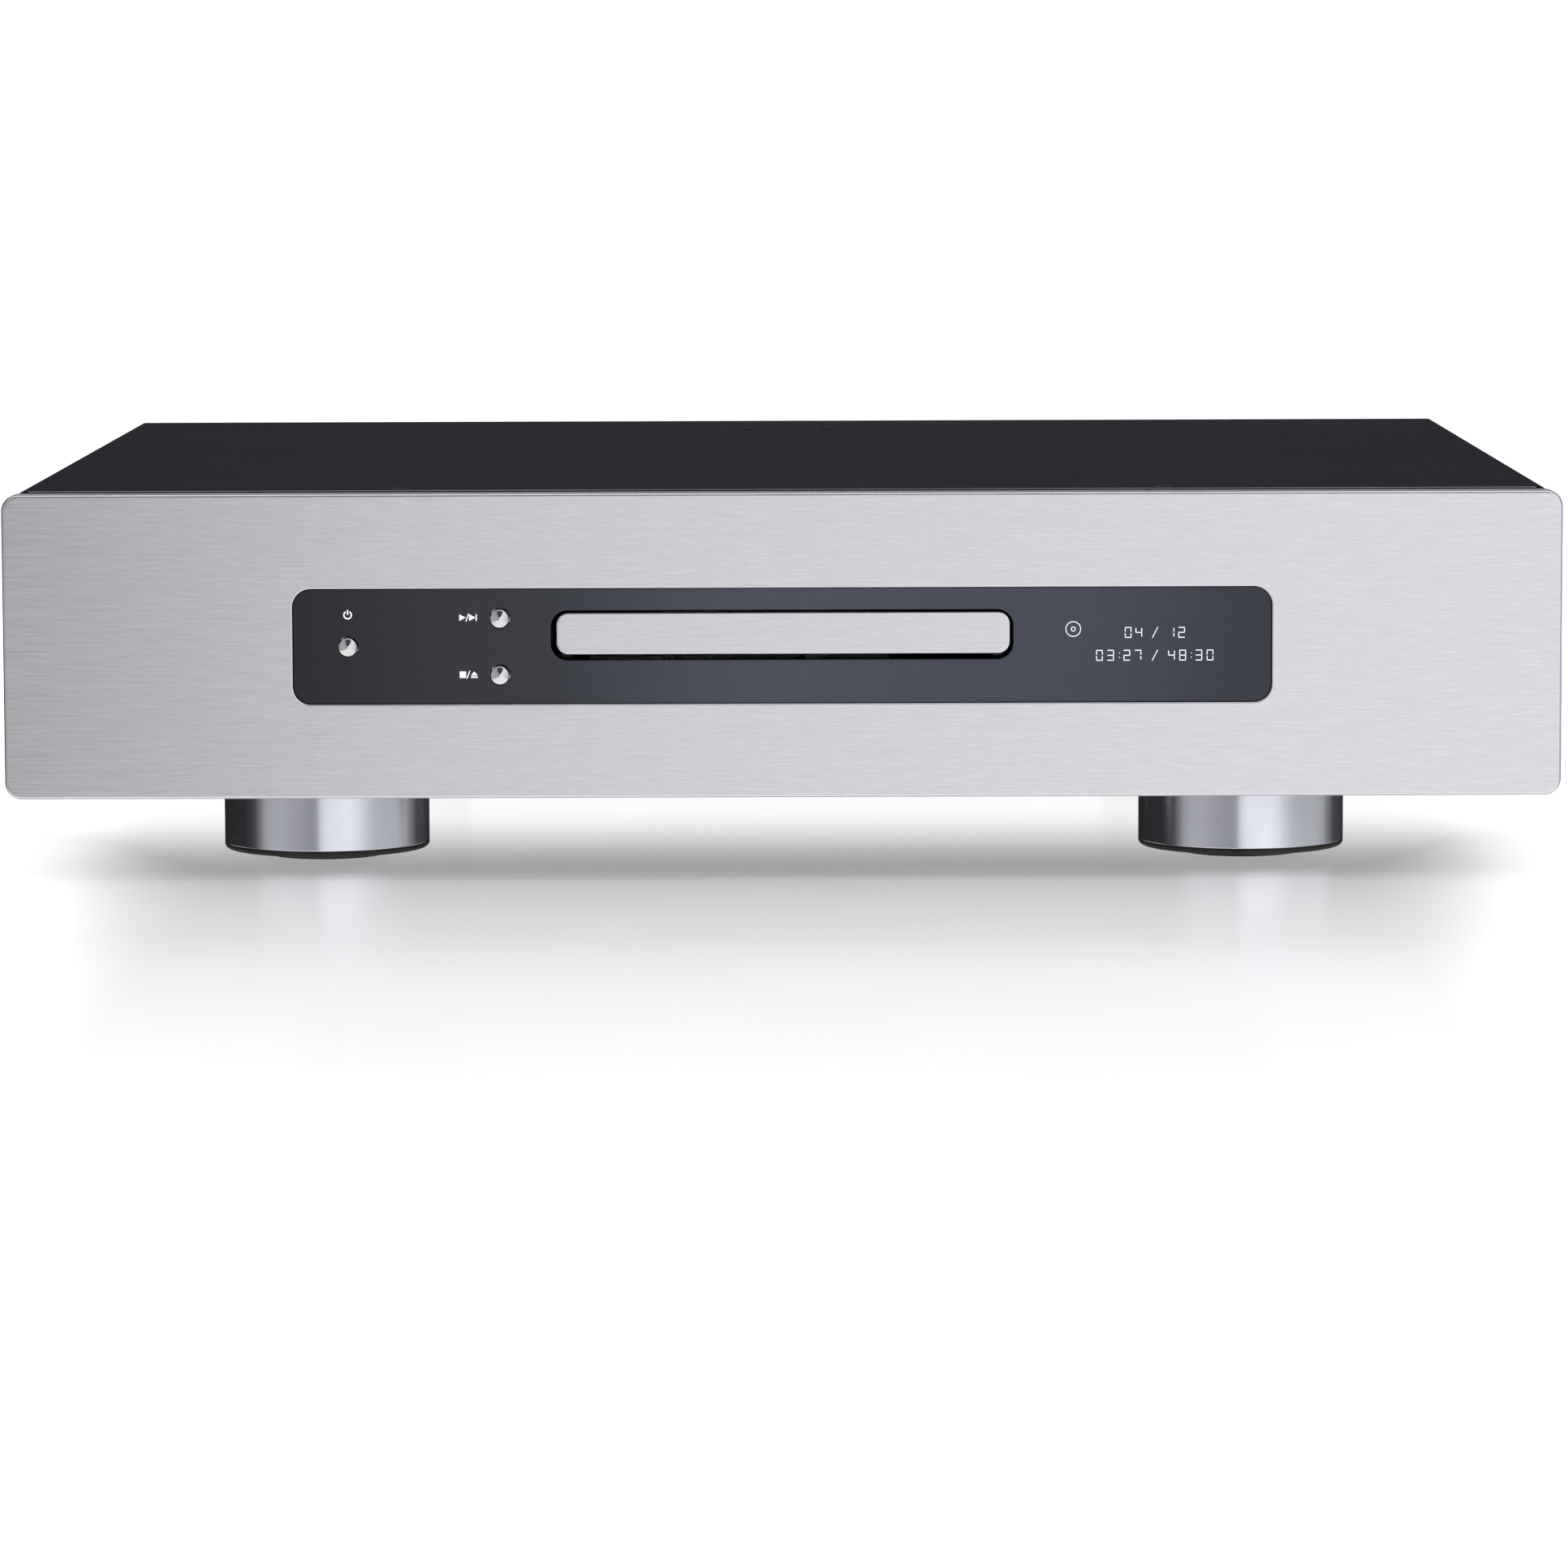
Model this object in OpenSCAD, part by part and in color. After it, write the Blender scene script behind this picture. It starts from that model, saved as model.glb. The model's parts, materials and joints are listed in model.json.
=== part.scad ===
// Full-width hi-fi CD player, in millimetres.
// +X runs right as seen from the front, the front faces -Y, +Z is up.
// The origin is on the floor under the middle of the body.

/* [Front plate] */

// Width of the front plate
plate_w = 430; // [428:1:436]
// Height of the front plate
plate_h = 84.3; // [84:0.1:85]
// Thickness of the front plate
plate_t = 8; // [7:0.5:8]
// Corner radius of the front plate
plate_r = 4.5; // [3:0.5:6]
// Height of the front plate's lower edge above the case datum
plate_z = 21.5; // [21.5:0.1:22]

/* [Window] */

// Width of the dark window
window_w = 270; // [268:1:276]
// Height of the dark window
window_h = 32; // [31:0.5:36]
// Corner radius of the dark window
window_r = 5; // [3:0.5:6]
// Height of the window's centre above the case datum
window_z = 63.6; // [63:0.1:64]

/* [Tray] */

// Width of the tray slot
slot_w = 127.6; // [127:0.1:129]
// Height of the tray slot
slot_h = 13.9; // [13.8:0.1:14.4]
// Width of the tray's front piece
tray_front_w = 125.4; // [124:0.1:125.6]
// Height of the tray's front piece
tray_front_h = 11.7; // [11:0.1:11.9]
// How far the tray slides out
tray_travel = 145; // [120:1:148]
// Diameter of the disc recess
disc_recess_d = 121.5; // [121:0.1:122]

/* [Buttons] */

// Diameter of the button caps
button_d = 5; // [4.6:0.1:5.2]
// How far a button is pressed
button_travel = 0.8; // [0.4:0.1:0.8]

/* [Case] */

// Width of the top cover
cover_w = 424; // [423:0.5:424]
// Height of the top cover above the case datum
cover_z = 106; // [106:0.1:107]
// Sheet thickness of the top cover
cover_t = 1.5; // [1.2:0.1:1.5]
// Outer bend radius of the top cover
cover_r = 2; // [2:0.5:4]

/* [Feet] */

// Diameter of the feet
foot_d = 58.5; // [54:0.5:60]
// Distance of the feet from the middle, across
foot_x = 130.8; // [125:0.5:135]
// Distance of the feet from the middle, front to back
foot_y = 121; // [110:1:125]

/* [Mains transformer] */

// Outer diameter of the toroidal transformer
toroid_d = 98; // [90:1:100]
// Height of the toroidal transformer
toroid_h = 46; // [40:1:50]

/* [Hidden] */

$fn = 64;
lift = 1.4;                      // heights below are measured from this level above the floor
gap = 0.3;                       // clearance between bodies
fit = 0.05;                      // radial running fit
plate_y0 = -190;                 // front face of the front plate
plate_y1 = plate_y0 + plate_t;
plate_cz = plate_z + plate_h / 2;
window_y0 = plate_y0 + 0.6;
window_t = 3;
carrier_y0 = window_y0 + window_t;
carrier_y1 = -180;
case_y0 = -176;                  // front face of the case behind the gap
case_y1 = 178;
back_y = 191;                    // ends of the rear sockets
floor_z = 24;                    // underside of the pan
sheet = 1.6;
pan_top = floor_z + sheet;
case_x = cover_w / 2 - cover_t - 0.3;
lid_z = cover_z - cover_t;

// Tray and its slot
slot_z = 66.55;
slot_r = 4.6;
tray_front_x = 0.3;
tray_front_z = 66.95;
tray_y0 = -184.6;
tray_y1 = 15;
tray_x = 62.5;
tray_base_z = 63;
recess_z = 65.5;
rim_z = 69.2;
runner_z = 60.3;
disc_y = -108;
hub_slot = 23;

// Buttons: centre positions across and up
power_pos = [-119.8, 63.5];
play_pos = [-77.9, 71.3];
stop_pos = [-77.9, 55.6];

// Loading gears
load_m = 1;
load_n = 24;
step_m = 0.8;
step_n = 30;
pinion_n = 18;
load_r = load_m * load_n / 2;
step_r = step_m * step_n / 2;
pinion_r = step_m * pinion_n / 2;
rack_x = -54;                    // pitch line of the tray's rack
load_x = rack_x + load_r;
load_y = -158;
pulley_x = load_x + step_r + pinion_r;
motor_x = 25;
belt_z0 = 52.3;
belt_z1 = 53.7;
pulley_groove = 11.6;
motor_groove = 3;

// Drive frame
drive_wall = 64;
drive_z0 = 48;
drive_z1 = 50;
drive_top = 74;
drive_y0 = -172;
drive_y1 = 22;
ledge_z = 60;

// Tilting deck
deck_pivot_y = 4;
deck_pivot_z = 50;
deck_z0 = 52;
deck_z1 = 54;
cam_pin_x = 12;
cam_pin_z = 58;
cam_pin_r = 1.5;
cam_travel = 12;
cam_drop = 5.5;
cam_y0 = -143;
cam_y1 = -140;

// Pickup and its gears
lens_y = disc_y + 22;
rail_x = 24;
rod_z = 57;
rod_r = 1.5;
sled_m = 0.8;
sled_n = 24;
sled_rack_x = 31;
sled_r = sled_m * sled_n / 2;
sled_x = sled_rack_x + sled_r;
sled_y = -62;
fine_m = 0.5;
fine_n = 30;
fine_pinion_n = 18;
fine_d = fine_m * (fine_n + fine_pinion_n) / 2;
fine_a = 249.5;                  // direction from the sled gear to its pinion
fine_x = sled_x + fine_d * cos(fine_a);
fine_y = sled_y + fine_d * sin(fine_a);

// Boards
board_z = 34;
board_t = 1.6;
board_top = board_z + board_t;
main_board_box = [12, 62, 200, 168];
servo_board_box = [84, -150, 200, 34];
power_board_box = [-200, 10, -92, 148];
toroid_x = -140;
toroid_y = -62;
toroid_z = pan_top + 1.4;

// Rear sockets
inlet_x = -168;
inlet_z = 52;
rocker_x = -122;
rocker_y = 174.5;
rocker_z = 52;
xlr_x = [28, 62];
xlr_z = 58;
rca_x = [98, 120, 148];
rca_z = 48;
optical_x = 176;
optical_z = 42;

// Feet, from the floor up
pad_r = 17.3;
pad_h = 1.8;
rim_r = 1.5;
rim_z1 = 3.5;

// Colours
silver = [0.74, 0.74, 0.76];
steel = [0.6, 0.61, 0.63];
black = [0.06, 0.06, 0.07];
dark = [0.15, 0.15, 0.17];
green = [0.05, 0.3, 0.16];
white = [0.9, 0.9, 0.88];
gold = [0.83, 0.66, 0.3];
copper = [0.72, 0.43, 0.25];
grey = [0.4, 0.41, 0.43];

// ---- Helpers ----

// Colours a piece of the case and raises it with the case
module paint(c) {
  translate([0, 0, lift])
    color(c)
      children();
}

// Rounded rectangle about the origin
module rounded(w, h, r) {
  square([w - 2 * r, h], center = true);
  square([w, h - 2 * r], center = true);
  for (x = [-1, 1], y = [-1, 1])
    translate([x * (w / 2 - r), y * (h / 2 - r)])
      circle(r = r);
}

// Sets a flat shape drawn as (across, up) upright between two depths
module upright(y0, y1) {
  translate([0, y1, 0])
    rotate([90, 0, 0])
      linear_extrude(y1 - y0)
        children();
}

// Box given by its two corners
module box(a, b) {
  translate(a)
    cube(b - a);
}

// Cylinder along Y at (x, z)
module rod_y(x, z, r, y0, y1) {
  translate([x, y0, z])
    rotate([-90, 0, 0])
      cylinder(r = r, h = y1 - y0);
}

// Cylinder along X at (y, z)
module rod_x(y, z, r, x0, x1) {
  translate([x0, y, z])
    rotate([0, 90, 0])
      cylinder(r = r, h = x1 - x0);
}

// Cylinder along Z at (x, y)
module post(x, y, r, z0, z1) {
  translate([x, y, z0])
    cylinder(r = r, h = z1 - z0);
}

// Angle swept by an involute from its base circle out to radius r
function inv_angle(rb, r) =
  let (t = sqrt(max(0, r * r / (rb * rb) - 1)))
  t * 180 / PI - atan(t);

// Half the angle of a tooth at radius r, thinned by the play
function half_tooth(m, n, r, play) =
  let (rp = m * n / 2, rb = rp * cos(20))
  90 / n - play / (2 * rp) * 180 / PI + inv_angle(rb, rp) - inv_angle(rb, max(r, rb));

// Involute gear outline with a tooth centred on +X
module gear(m, n, play = 0.1) {
  rp = m * n / 2;
  rb = rp * cos(20);
  tip = rp + m;
  low = rp - 1.25 * m;
  from = max(rb, low);
  steps = 4;
  radii = concat([low], [for (k = [0 : steps]) from + (tip - from) * k / steps]);
  last = len(radii) - 1;
  polygon([
    for (i = [0 : n - 1], side = [-1, 1], k = [0 : last])
      let (r = radii[side < 0 ? k : last - k])
      let (a = i * 360 / n + side * half_tooth(m, n, r, play))
      [r * cos(a), r * sin(a)]
  ]);
}

// Rack outline: teeth face +X from the pitch line x, spaces centred on y
module rack(m, x, y, y0, y1, back, play = 0.1) {
  pitch = PI * m;
  half = pitch / 4 - play / 2;
  wide = half + 1.25 * m * tan(20);
  thin = half - m * tan(20);
  first = ceil((y0 + wide - y) / pitch - 0.5);
  end = floor((y1 - wide - y) / pitch - 0.5);
  root = x - 1.25 * m;
  teeth = [
    for (k = [first : end])
      let (c = y + (k + 0.5) * pitch)
      for (p = [[root, -wide], [x + m, -thin], [x + m, thin], [root, wide]])
        [p[0], c + p[1]]
  ];
  polygon(concat([[back, y0], [root, y0]], teeth, [[root, y1], [back, y1]]));
}

// Belt loop around two wheels on one line along X, by its radii
module belt_loop(x1, r1, x2, r2) {
  d = x2 - x1;
  a = acos((r1 - r2) / d);
  translate([x1, 0]) circle(r = r1);
  translate([x2, 0]) circle(r = r2);
  polygon([
    [x1 + r1 * cos(a), r1 * sin(a)],
    [x2 + r2 * cos(a), r2 * sin(a)],
    [x2 + r2 * cos(a), -r2 * sin(a)],
    [x1 + r1 * cos(a), -r1 * sin(a)]
  ]);
}

// ---- Front ----

spacer_pos = [for (x = [-192, 0, 192], z = [34, 94]) [x, z]];

module slot_outline(grow) {
  translate([0, slot_z])
    rounded(slot_w + 2 * grow, slot_h + 2 * grow, slot_r + grow);
}

module button_holes(r) {
  for (p = [power_pos, play_pos, stop_pos])
    translate(p)
      circle(r = r);
}

module front_panel() {
  paint(silver)
    difference() {
      upright(plate_y0, plate_y1)
        difference() {
          translate([0, plate_cz])
            rounded(plate_w, plate_h, plate_r);
          translate([0, window_z])
            rounded(window_w, window_h, window_r);
        }
      for (p = spacer_pos)
        rod_y(p[0], p[1], 1.6, plate_y1 - 5, plate_y1 + 1);
    }
}

module window_panel() {
  paint(black)
    upright(window_y0, carrier_y0)
      difference() {
        translate([0, window_z])
          rounded(window_w - 0.3, window_h - 0.3, window_r - 0.15);
        slot_outline(0);
        button_holes(button_d / 2 + 0.4);
      }
}

display_x = 101;
display_z = 64.5;
display_w = 50;
display_h = 21;
eye_x = 70.5;
eye_z = 64.5;

module window_carrier() {
  paint(dark)
    difference() {
      union() {
        upright(carrier_y0, plate_y1)
          translate([0, window_z])
            rounded(window_w - 0.6, window_h - 0.6, window_r - 0.3);
        upright(plate_y1, carrier_y1)
          translate([0, window_z])
            rounded(window_w + 12, window_h + 12, window_r + 3);
      }
      upright(carrier_y0 - 1, carrier_y1 + 1) {
        slot_outline(0.4);
        button_holes(button_d / 2 + 0.4);
        translate([display_x, display_z])
          square([display_w + 0.4, display_h + 0.4], center = true);
        translate([eye_x, eye_z])
          circle(r = 3);
      }
    }
}

module display_module() {
  paint(dark) {
    upright(carrier_y0 + 0.1, carrier_y1)
      translate([display_x, display_z])
        square([display_w, display_h], center = true);
    box([68, carrier_y1, 50], [128, carrier_y1 + 1.6, 80]);
  }
}

module ir_receiver() {
  paint(black) {
    rod_y(eye_x, eye_z, 2.5, carrier_y0 + 1.5, carrier_y1);
    translate([eye_x, carrier_y0 + 1.5, eye_z])
      intersection() {
        sphere(r = 2.5);
        box([-3, -1.4, -3], [3, 1, 3]);
      }
  }
}

module front_board() {
  paint(green)
    difference() {
      box([-130, -170, 46], [-68.6, -168.4, 82]);
      for (x = [-127, -72], z = [49, 79])
        rod_y(x, z, 1.6, -171, -168);
    }
}

module tact_switches() {
  paint(dark)
    for (p = [power_pos, play_pos, stop_pos]) {
      box([p[0] - 3, -173.2, p[1] - 3], [p[0] + 3, -170, p[1] + 3]);
      rod_y(p[0], p[1], 1.6, -174.2, -173.2);
    }
}

module front_subframe() {
  paint(black)
    difference() {
      union() {
        upright(case_y0, case_y0 + 2)
          translate([0, (pan_top + lid_z) / 2])
            square([2 * case_x, lid_z - pan_top], center = true);
        box([-case_x + 2, case_y0 + 2, lid_z - 1.6], [case_x - 2, -160, lid_z]);
      }
      upright(case_y0 - 1, case_y0 + 3) {
        translate([0, 67])
          square([130, 17], center = true);
        for (p = [power_pos, play_pos, stop_pos])
          translate(p)
            circle(r = 2.4);
        translate([display_x, 64])
          square([30, 6], center = true);
        for (p = spacer_pos)
          translate(p)
            circle(r = 1.7);
      }
      for (x = [-106, 106])
        post(x, -168, 1.45, lid_z - 3, lid_z + 1);
    }
}

module panel_spacers() {
  paint(steel)
    for (p = spacer_pos)
      difference() {
        rod_y(p[0], p[1], 5, plate_y1, case_y0);
        rod_y(p[0], p[1], 1.7, plate_y1 - 1, case_y0 + 1);
      }
}

module button(p) {
  paint(silver) {
    translate([p[0], -191, p[1]])
      rotate([-90, 0, 0])
        cylinder(r1 = 0.4, r2 = button_d / 2, h = 0.9);
    rod_y(p[0], p[1], button_d / 2, -190.1, carrier_y1 + 0.4);
    rod_y(p[0], p[1], button_d / 2 + 1.3, carrier_y1 + 0.4, carrier_y1 + 1.4);
    rod_y(p[0], p[1], 1.7, carrier_y1 + 1.4, -174.6 - button_travel);
  }
}

module power_button() {
  button(power_pos);
}

module play_button() {
  button(play_pos);
}

module stop_button() {
  button(stop_pos);
}

// ---- Case ----

module foot_places() {
  for (x = [-foot_x, foot_x], y = [-foot_y, foot_y])
    translate([x, y, 0])
      children();
}

board_posts = [
  for (b = [main_board_box, servo_board_box, power_board_box])
    for (x = [b[0] + 5, b[2] - 5], y = [b[1] + 5, b[3] - 5])
      [x, y]
];
drive_posts = [for (x = [-58, 58], y = [-150, 14]) [x, y]];
front_posts = [for (x = [-127, -72], z = [49, 79]) [x, z]];

module chassis_pan() {
  paint(black)
    difference() {
      union() {
        box([-case_x, case_y0, floor_z], [case_x, case_y1, pan_top]);
        for (s = [-1, 1])
          box(
            [s > 0 ? case_x - sheet : -case_x, case_y0 + 2, pan_top],
            [s > 0 ? case_x : -case_x + sheet, case_y1 - 1.5, pan_top + 12]
          );
      }
      foot_places()
        post(0, 0, 2.1, floor_z - 1, pan_top + 1);
      post(toroid_x, toroid_y, 3.1, floor_z - 1, pan_top + 1);
      for (i = [0 : 11])
        box([-8 * i + 44, 40, floor_z - 1], [-8 * i + 47, 90, pan_top + 1]);
      for (s = [-1, 1], y = [-110, 110])
        rod_x(y, 31, 1.45, s * case_x - 4, s * case_x + 4);
    }
}

module rear_panel() {
  paint(black)
    difference() {
      upright(case_y1 - 1.5, case_y1)
        difference() {
          translate([0, (pan_top + lid_z) / 2])
            square([2 * case_x, lid_z - pan_top], center = true);
          translate([inlet_x, inlet_z])
            square([27.4, 20], center = true);
          translate([rocker_x, rocker_z])
            square([13.6, 20.6], center = true);
          for (x = xlr_x)
            translate([x, xlr_z])
              circle(r = 12);
          for (x = rca_x)
            translate([x, rca_z])
              circle(r = 5.6);
          translate([optical_x, optical_z])
            square([10.4, 10.4], center = true);
        }
      for (x = [-20, 20])
        rod_y(inlet_x + x, inlet_z, 1.6, case_y1 - 2, case_y1 + 1);
      for (x = xlr_x, s = [-1, 1])
        rod_y(x + s * 9.5, xlr_z + s * 12, 1.6, case_y1 - 2, case_y1 + 1);
      for (i = [0 : 9])
        box([-40 + 6 * i, case_y1 - 2, 84], [-37 + 6 * i, case_y1 + 1, 98]);
    }
}

module cover_outline(w, top, low, r) {
  translate([-w / 2, low])
    square([w, top - r - low]);
  translate([-w / 2 + r, low])
    square([w - 2 * r, top - low]);
  for (s = [-1, 1])
    translate([s * (w / 2 - r), top - r])
      circle(r = r);
}

module top_cover() {
  paint(black)
    difference() {
      upright(case_y0, case_y1)
        difference() {
          cover_outline(cover_w, cover_z, floor_z, cover_r);
          cover_outline(cover_w - 2 * cover_t, lid_z, floor_z - 5, cover_r - cover_t);
        }
      for (x = [-106, 106])
        post(x, -168, 2.9, lid_z - 1, cover_z + 1);
      for (x = [-12.8, 12.8])
        post(x, 124, 2, cover_z - 0.3, cover_z + 1);
      for (s = [-1, 1], y = [-110, 110])
        rod_x(y, 31, 2.9, s * cover_w / 2 - 3, s * cover_w / 2 + 3);
    }
}

module cover_screws() {
  paint(steel) {
    for (x = [-106, 106]) {
      difference() {
        post(x, -168, 2.8, lid_z, cover_z);
        post(x, -168, 1, cover_z - 0.8, cover_z + 1);
      }
      post(x, -168, 1.4, lid_z - 5, lid_z);
    }
    for (s = [-1, 1], y = [-110, 110]) {
      difference() {
        rod_x(y, 31, 2.8, s > 0 ? case_x : -cover_w / 2, s > 0 ? cover_w / 2 : -case_x);
        rod_x(y, 31, 1, s > 0 ? cover_w / 2 - 0.8 : -cover_w / 2 - 1,
          s > 0 ? cover_w / 2 + 1 : -cover_w / 2 + 0.8);
      }
      rod_x(y, 31, 1.4, s > 0 ? case_x - 5 : -case_x, s > 0 ? case_x : -case_x + 5);
    }
  }
}

module foot_housings() {
  color(silver)
    foot_places()
      difference() {
        post(0, 0, foot_d / 2, rim_z1, floor_z + lift);
        post(0, 0, 18.8, rim_z1 - 1, rim_z1 + 2);
        post(0, 0, 2.05, rim_z1 + 1, floor_z + lift + 1);
      }
}

module foot_rims() {
  flat = foot_d / 2 - rim_r;
  color(black)
    foot_places()
      rotate_extrude()
        translate([0, pad_h]) {
          difference() {
            square([foot_d / 2, rim_z1 - pad_h]);
            difference() {
              translate([flat, -1])
                square([rim_r + 1, rim_r + 1]);
              translate([flat, rim_r])
                circle(r = rim_r);
            }
          }
          square([18.6, rim_z1 - pad_h + 1.9]);
        }
}

module foot_pads() {
  color(dark)
    foot_places()
      post(0, 0, pad_r, 0, pad_h);
}

module transformer_clamp() {
  paint(steel) {
    post(toroid_x, toroid_y, 28, toroid_z + toroid_h, toroid_z + toroid_h + 2);
    post(toroid_x, toroid_y, 3, floor_z - 1.5, toroid_z + toroid_h + 8);
    translate([toroid_x, toroid_y, toroid_z + toroid_h + 2])
      cylinder(r = 6, h = 4.5, $fn = 6);
    translate([toroid_x, toroid_y, floor_z - 2.5])
      cylinder(r = 5.5, h = 2.5);
  }
}

module transformer() {
  paint(copper)
    translate([toroid_x, toroid_y, toroid_z])
      rotate_extrude()
        translate([toroid_d / 4 + 7, toroid_h / 2])
          rounded(toroid_d / 2 - 14, toroid_h, 8);
}

// ---- Rear sockets ----

module power_inlet() {
  paint(dark)
    difference() {
      union() {
        upright(case_y1, case_y1 + 3)
          translate([inlet_x, inlet_z])
            rounded(50, 24, 4);
        upright(160, case_y1 + 3)
          translate([inlet_x, inlet_z])
            square([27, 19.6], center = true);
      }
      difference() {
        upright(165, case_y1 + 4)
          translate([inlet_x, inlet_z])
            square([24.4, 16.6], center = true);
        for (p = [[-7, -2], [7, -2], [0, 2]])
          box(
            [inlet_x + p[0] - 1, 164, inlet_z + p[1] - 2],
            [inlet_x + p[0] + 1, 176, inlet_z + p[1] + 2]
          );
      }
      for (x = [-20, 20])
        rod_y(inlet_x + x, inlet_z, 1.6, case_y1 - 2, case_y1 + 4);
    }
}

module rocker_housing() {
  paint(dark)
    difference() {
      union() {
        upright(case_y1, case_y1 + 2)
          translate([rocker_x, rocker_z])
            rounded(16, 23, 1);
        upright(158, case_y1 + 2)
          translate([rocker_x, rocker_z])
            square([13.2, 20.2], center = true);
      }
      upright(162, case_y1 + 3)
        translate([rocker_x, rocker_z])
          square([10.8, 17.8], center = true);
      rod_x(rocker_y, rocker_z, 1.5 + fit, rocker_x - 6.2, rocker_x + 6.2);
    }
}

module mains_rocker() {
  paint(black)
    translate([rocker_x, rocker_y, rocker_z])
      rotate([8, 0, 0]) {
        difference() {
          rod_x(0, 0, 9.1, -5, 5);
          box([-6, 6.4, -12], [6, 12, 12]);
          box([-6, -12, -12], [6, -4, 12]);
          for (s = [-1, 1])
            translate([0, 6.4, 0])
              rotate([s * 8, 0, 0])
                box([-6, 0, -12], [6, 6, 12]);
          box([-6, -5, 7.9], [6, 12, 12]);
          box([-6, -5, -12], [6, 12, -7.9]);
        }
        rod_x(0, 0, 1.5, -6.1, 6.1);
      }
}

module xlr_sockets() {
  paint(dark)
    for (x = xlr_x)
      difference() {
        union() {
          upright(case_y1, case_y1 + 2)
            translate([x, xlr_z])
              rounded(26, 31, 3);
          rod_y(x, xlr_z, 11.6, 163, case_y1 + 5);
        }
        difference() {
          rod_y(x, xlr_z, 9.2, 167, case_y1 + 6);
          for (a = [90, 210, 330])
            rod_y(x + 4 * cos(a), xlr_z + 4 * sin(a), 1.2, 166, 176.5);
        }
        for (s = [-1, 1])
          rod_y(x + s * 9.5, xlr_z + s * 12, 1.6, case_y1 - 2, case_y1 + 3);
      }
}

module rca_sockets() {
  paint(gold)
    for (x = rca_x)
      difference() {
        union() {
          rod_y(x, rca_z, 4.15, 166, back_y);
          rod_y(x, rca_z, 6.8, case_y1 + 1.2, case_y1 + 3.4);
        }
        rod_y(x, rca_z, 3.4, 170, back_y + 1);
      }
}

module rca_insulators() {
  paint(white)
    for (x = rca_x) {
      difference() {
        union() {
          rod_y(x, rca_z, 7, case_y1, case_y1 + 1.2);
          rod_y(x, rca_z, 5.5, 174, case_y1);
        }
        rod_y(x, rca_z, 4.15, 173, case_y1 + 2);
      }
      difference() {
        rod_y(x, rca_z, 3.4, 170, back_y - 0.6);
        rod_y(x, rca_z, 1.65, 178, back_y);
      }
    }
}

module optical_socket() {
  paint(dark)
    difference() {
      upright(164, case_y1 + 1)
        translate([optical_x, optical_z])
          square([10, 10], center = true);
      upright(169, case_y1 + 2)
        translate([optical_x, optical_z])
          square([6, 6], center = true);
    }
}

// ---- Boards ----

module board(b) {
  difference() {
    box([b[0], b[1], board_z], [b[2], b[3], board_top]);
    for (x = [b[0] + 5, b[2] - 5], y = [b[1] + 5, b[3] - 5])
      post(x, y, 1.7, board_z - 1, board_top + 1);
  }
}

module main_board() {
  paint(green)
    board(main_board_box);
}

module servo_board() {
  paint(green)
    difference() {
      board(servo_board_box);
      post(foot_x, -foot_y, 6, board_z - 1, board_top + 1);
    }
}

module power_board() {
  paint(green)
    board(power_board_box);
}

module standoffs() {
  paint(steel) {
    for (p = board_posts)
      difference() {
        post(p[0], p[1], 3, pan_top, board_z);
        post(p[0], p[1], 1.45, pan_top + 1, board_z + 1);
      }
    for (p = drive_posts)
      difference() {
        post(p[0], p[1], 5, pan_top, 44);
        post(p[0], p[1], 1.45, 30, 45);
      }
    for (p = front_posts)
      difference() {
        rod_y(p[0], p[1], 2.6, case_y0 + 2, -170);
        rod_y(p[0], p[1], 1.4, case_y0 + 2.2, -169);
      }
  }
}

module drive_grommets() {
  paint(black)
    for (p = drive_posts)
      difference() {
        union() {
          post(p[0], p[1], 6, 44, drive_z0);
          post(p[0], p[1], 3.4, drive_z0, drive_z1);
        }
        post(p[0], p[1], 1.6, 43, drive_z1 + 1);
      }
}

module screw_up(x, y, z, h) {
  post(x, y, 1.4, z - h, z);
  difference() {
    post(x, y, 2.8, z, z + 1.8);
    translate([x, y, z + 0.8])
      cylinder(r = 1.2, h = 2, $fn = 6);
  }
}

module screw_y(x, z, y, h, s) {
  rod_y(x, z, 1.4, s > 0 ? y - h : y, s > 0 ? y : y + h);
  difference() {
    rod_y(x, z, 2.8, s > 0 ? y : y - 1.8, s > 0 ? y + 1.8 : y);
    translate([x, s > 0 ? y + 0.8 : y - 0.8, z])
      rotate([s > 0 ? -90 : 90, 0, 0])
        cylinder(r = 1.2, h = 2, $fn = 6);
  }
}

module machine_screws() {
  paint(steel) {
    for (p = board_posts)
      screw_up(p[0], p[1], board_top, 7);
    for (p = drive_posts)
      screw_up(p[0], p[1], drive_z1, 14);
    for (p = front_posts)
      screw_y(p[0], p[1], -168.4, 4.5, 1);
    for (p = spacer_pos)
      screw_y(p[0], p[1], case_y0 + 2, 12, 1);
    for (x = [-20, 20])
      screw_y(inlet_x + x, inlet_z, case_y1 + 3, 7, 1);
    for (x = xlr_x, s = [-1, 1])
      screw_y(x + s * 9.5, xlr_z + s * 12, case_y1 + 2, 6, 1);
    foot_places() {
      post(0, 0, 2, 12, pan_top);
      difference() {
        post(0, 0, 4, pan_top, pan_top + 2.4);
        translate([0, 0, pan_top + 1])
          cylinder(r = 1.8, h = 3, $fn = 6);
      }
    }
  }
}

module capacitors() {
  paint(dark) {
    for (x = [-180, -154], y = [34, 62, 90])
      post(x, y, 11, board_top, board_top + 38);
    for (x = [60 : 14 : 116], y = [92, 110])
      post(x, y, 5, board_top, board_top + 16);
    for (y = [-110, -94, -78])
      post(184, y, 5, board_top, board_top + 14);
  }
}

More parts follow.
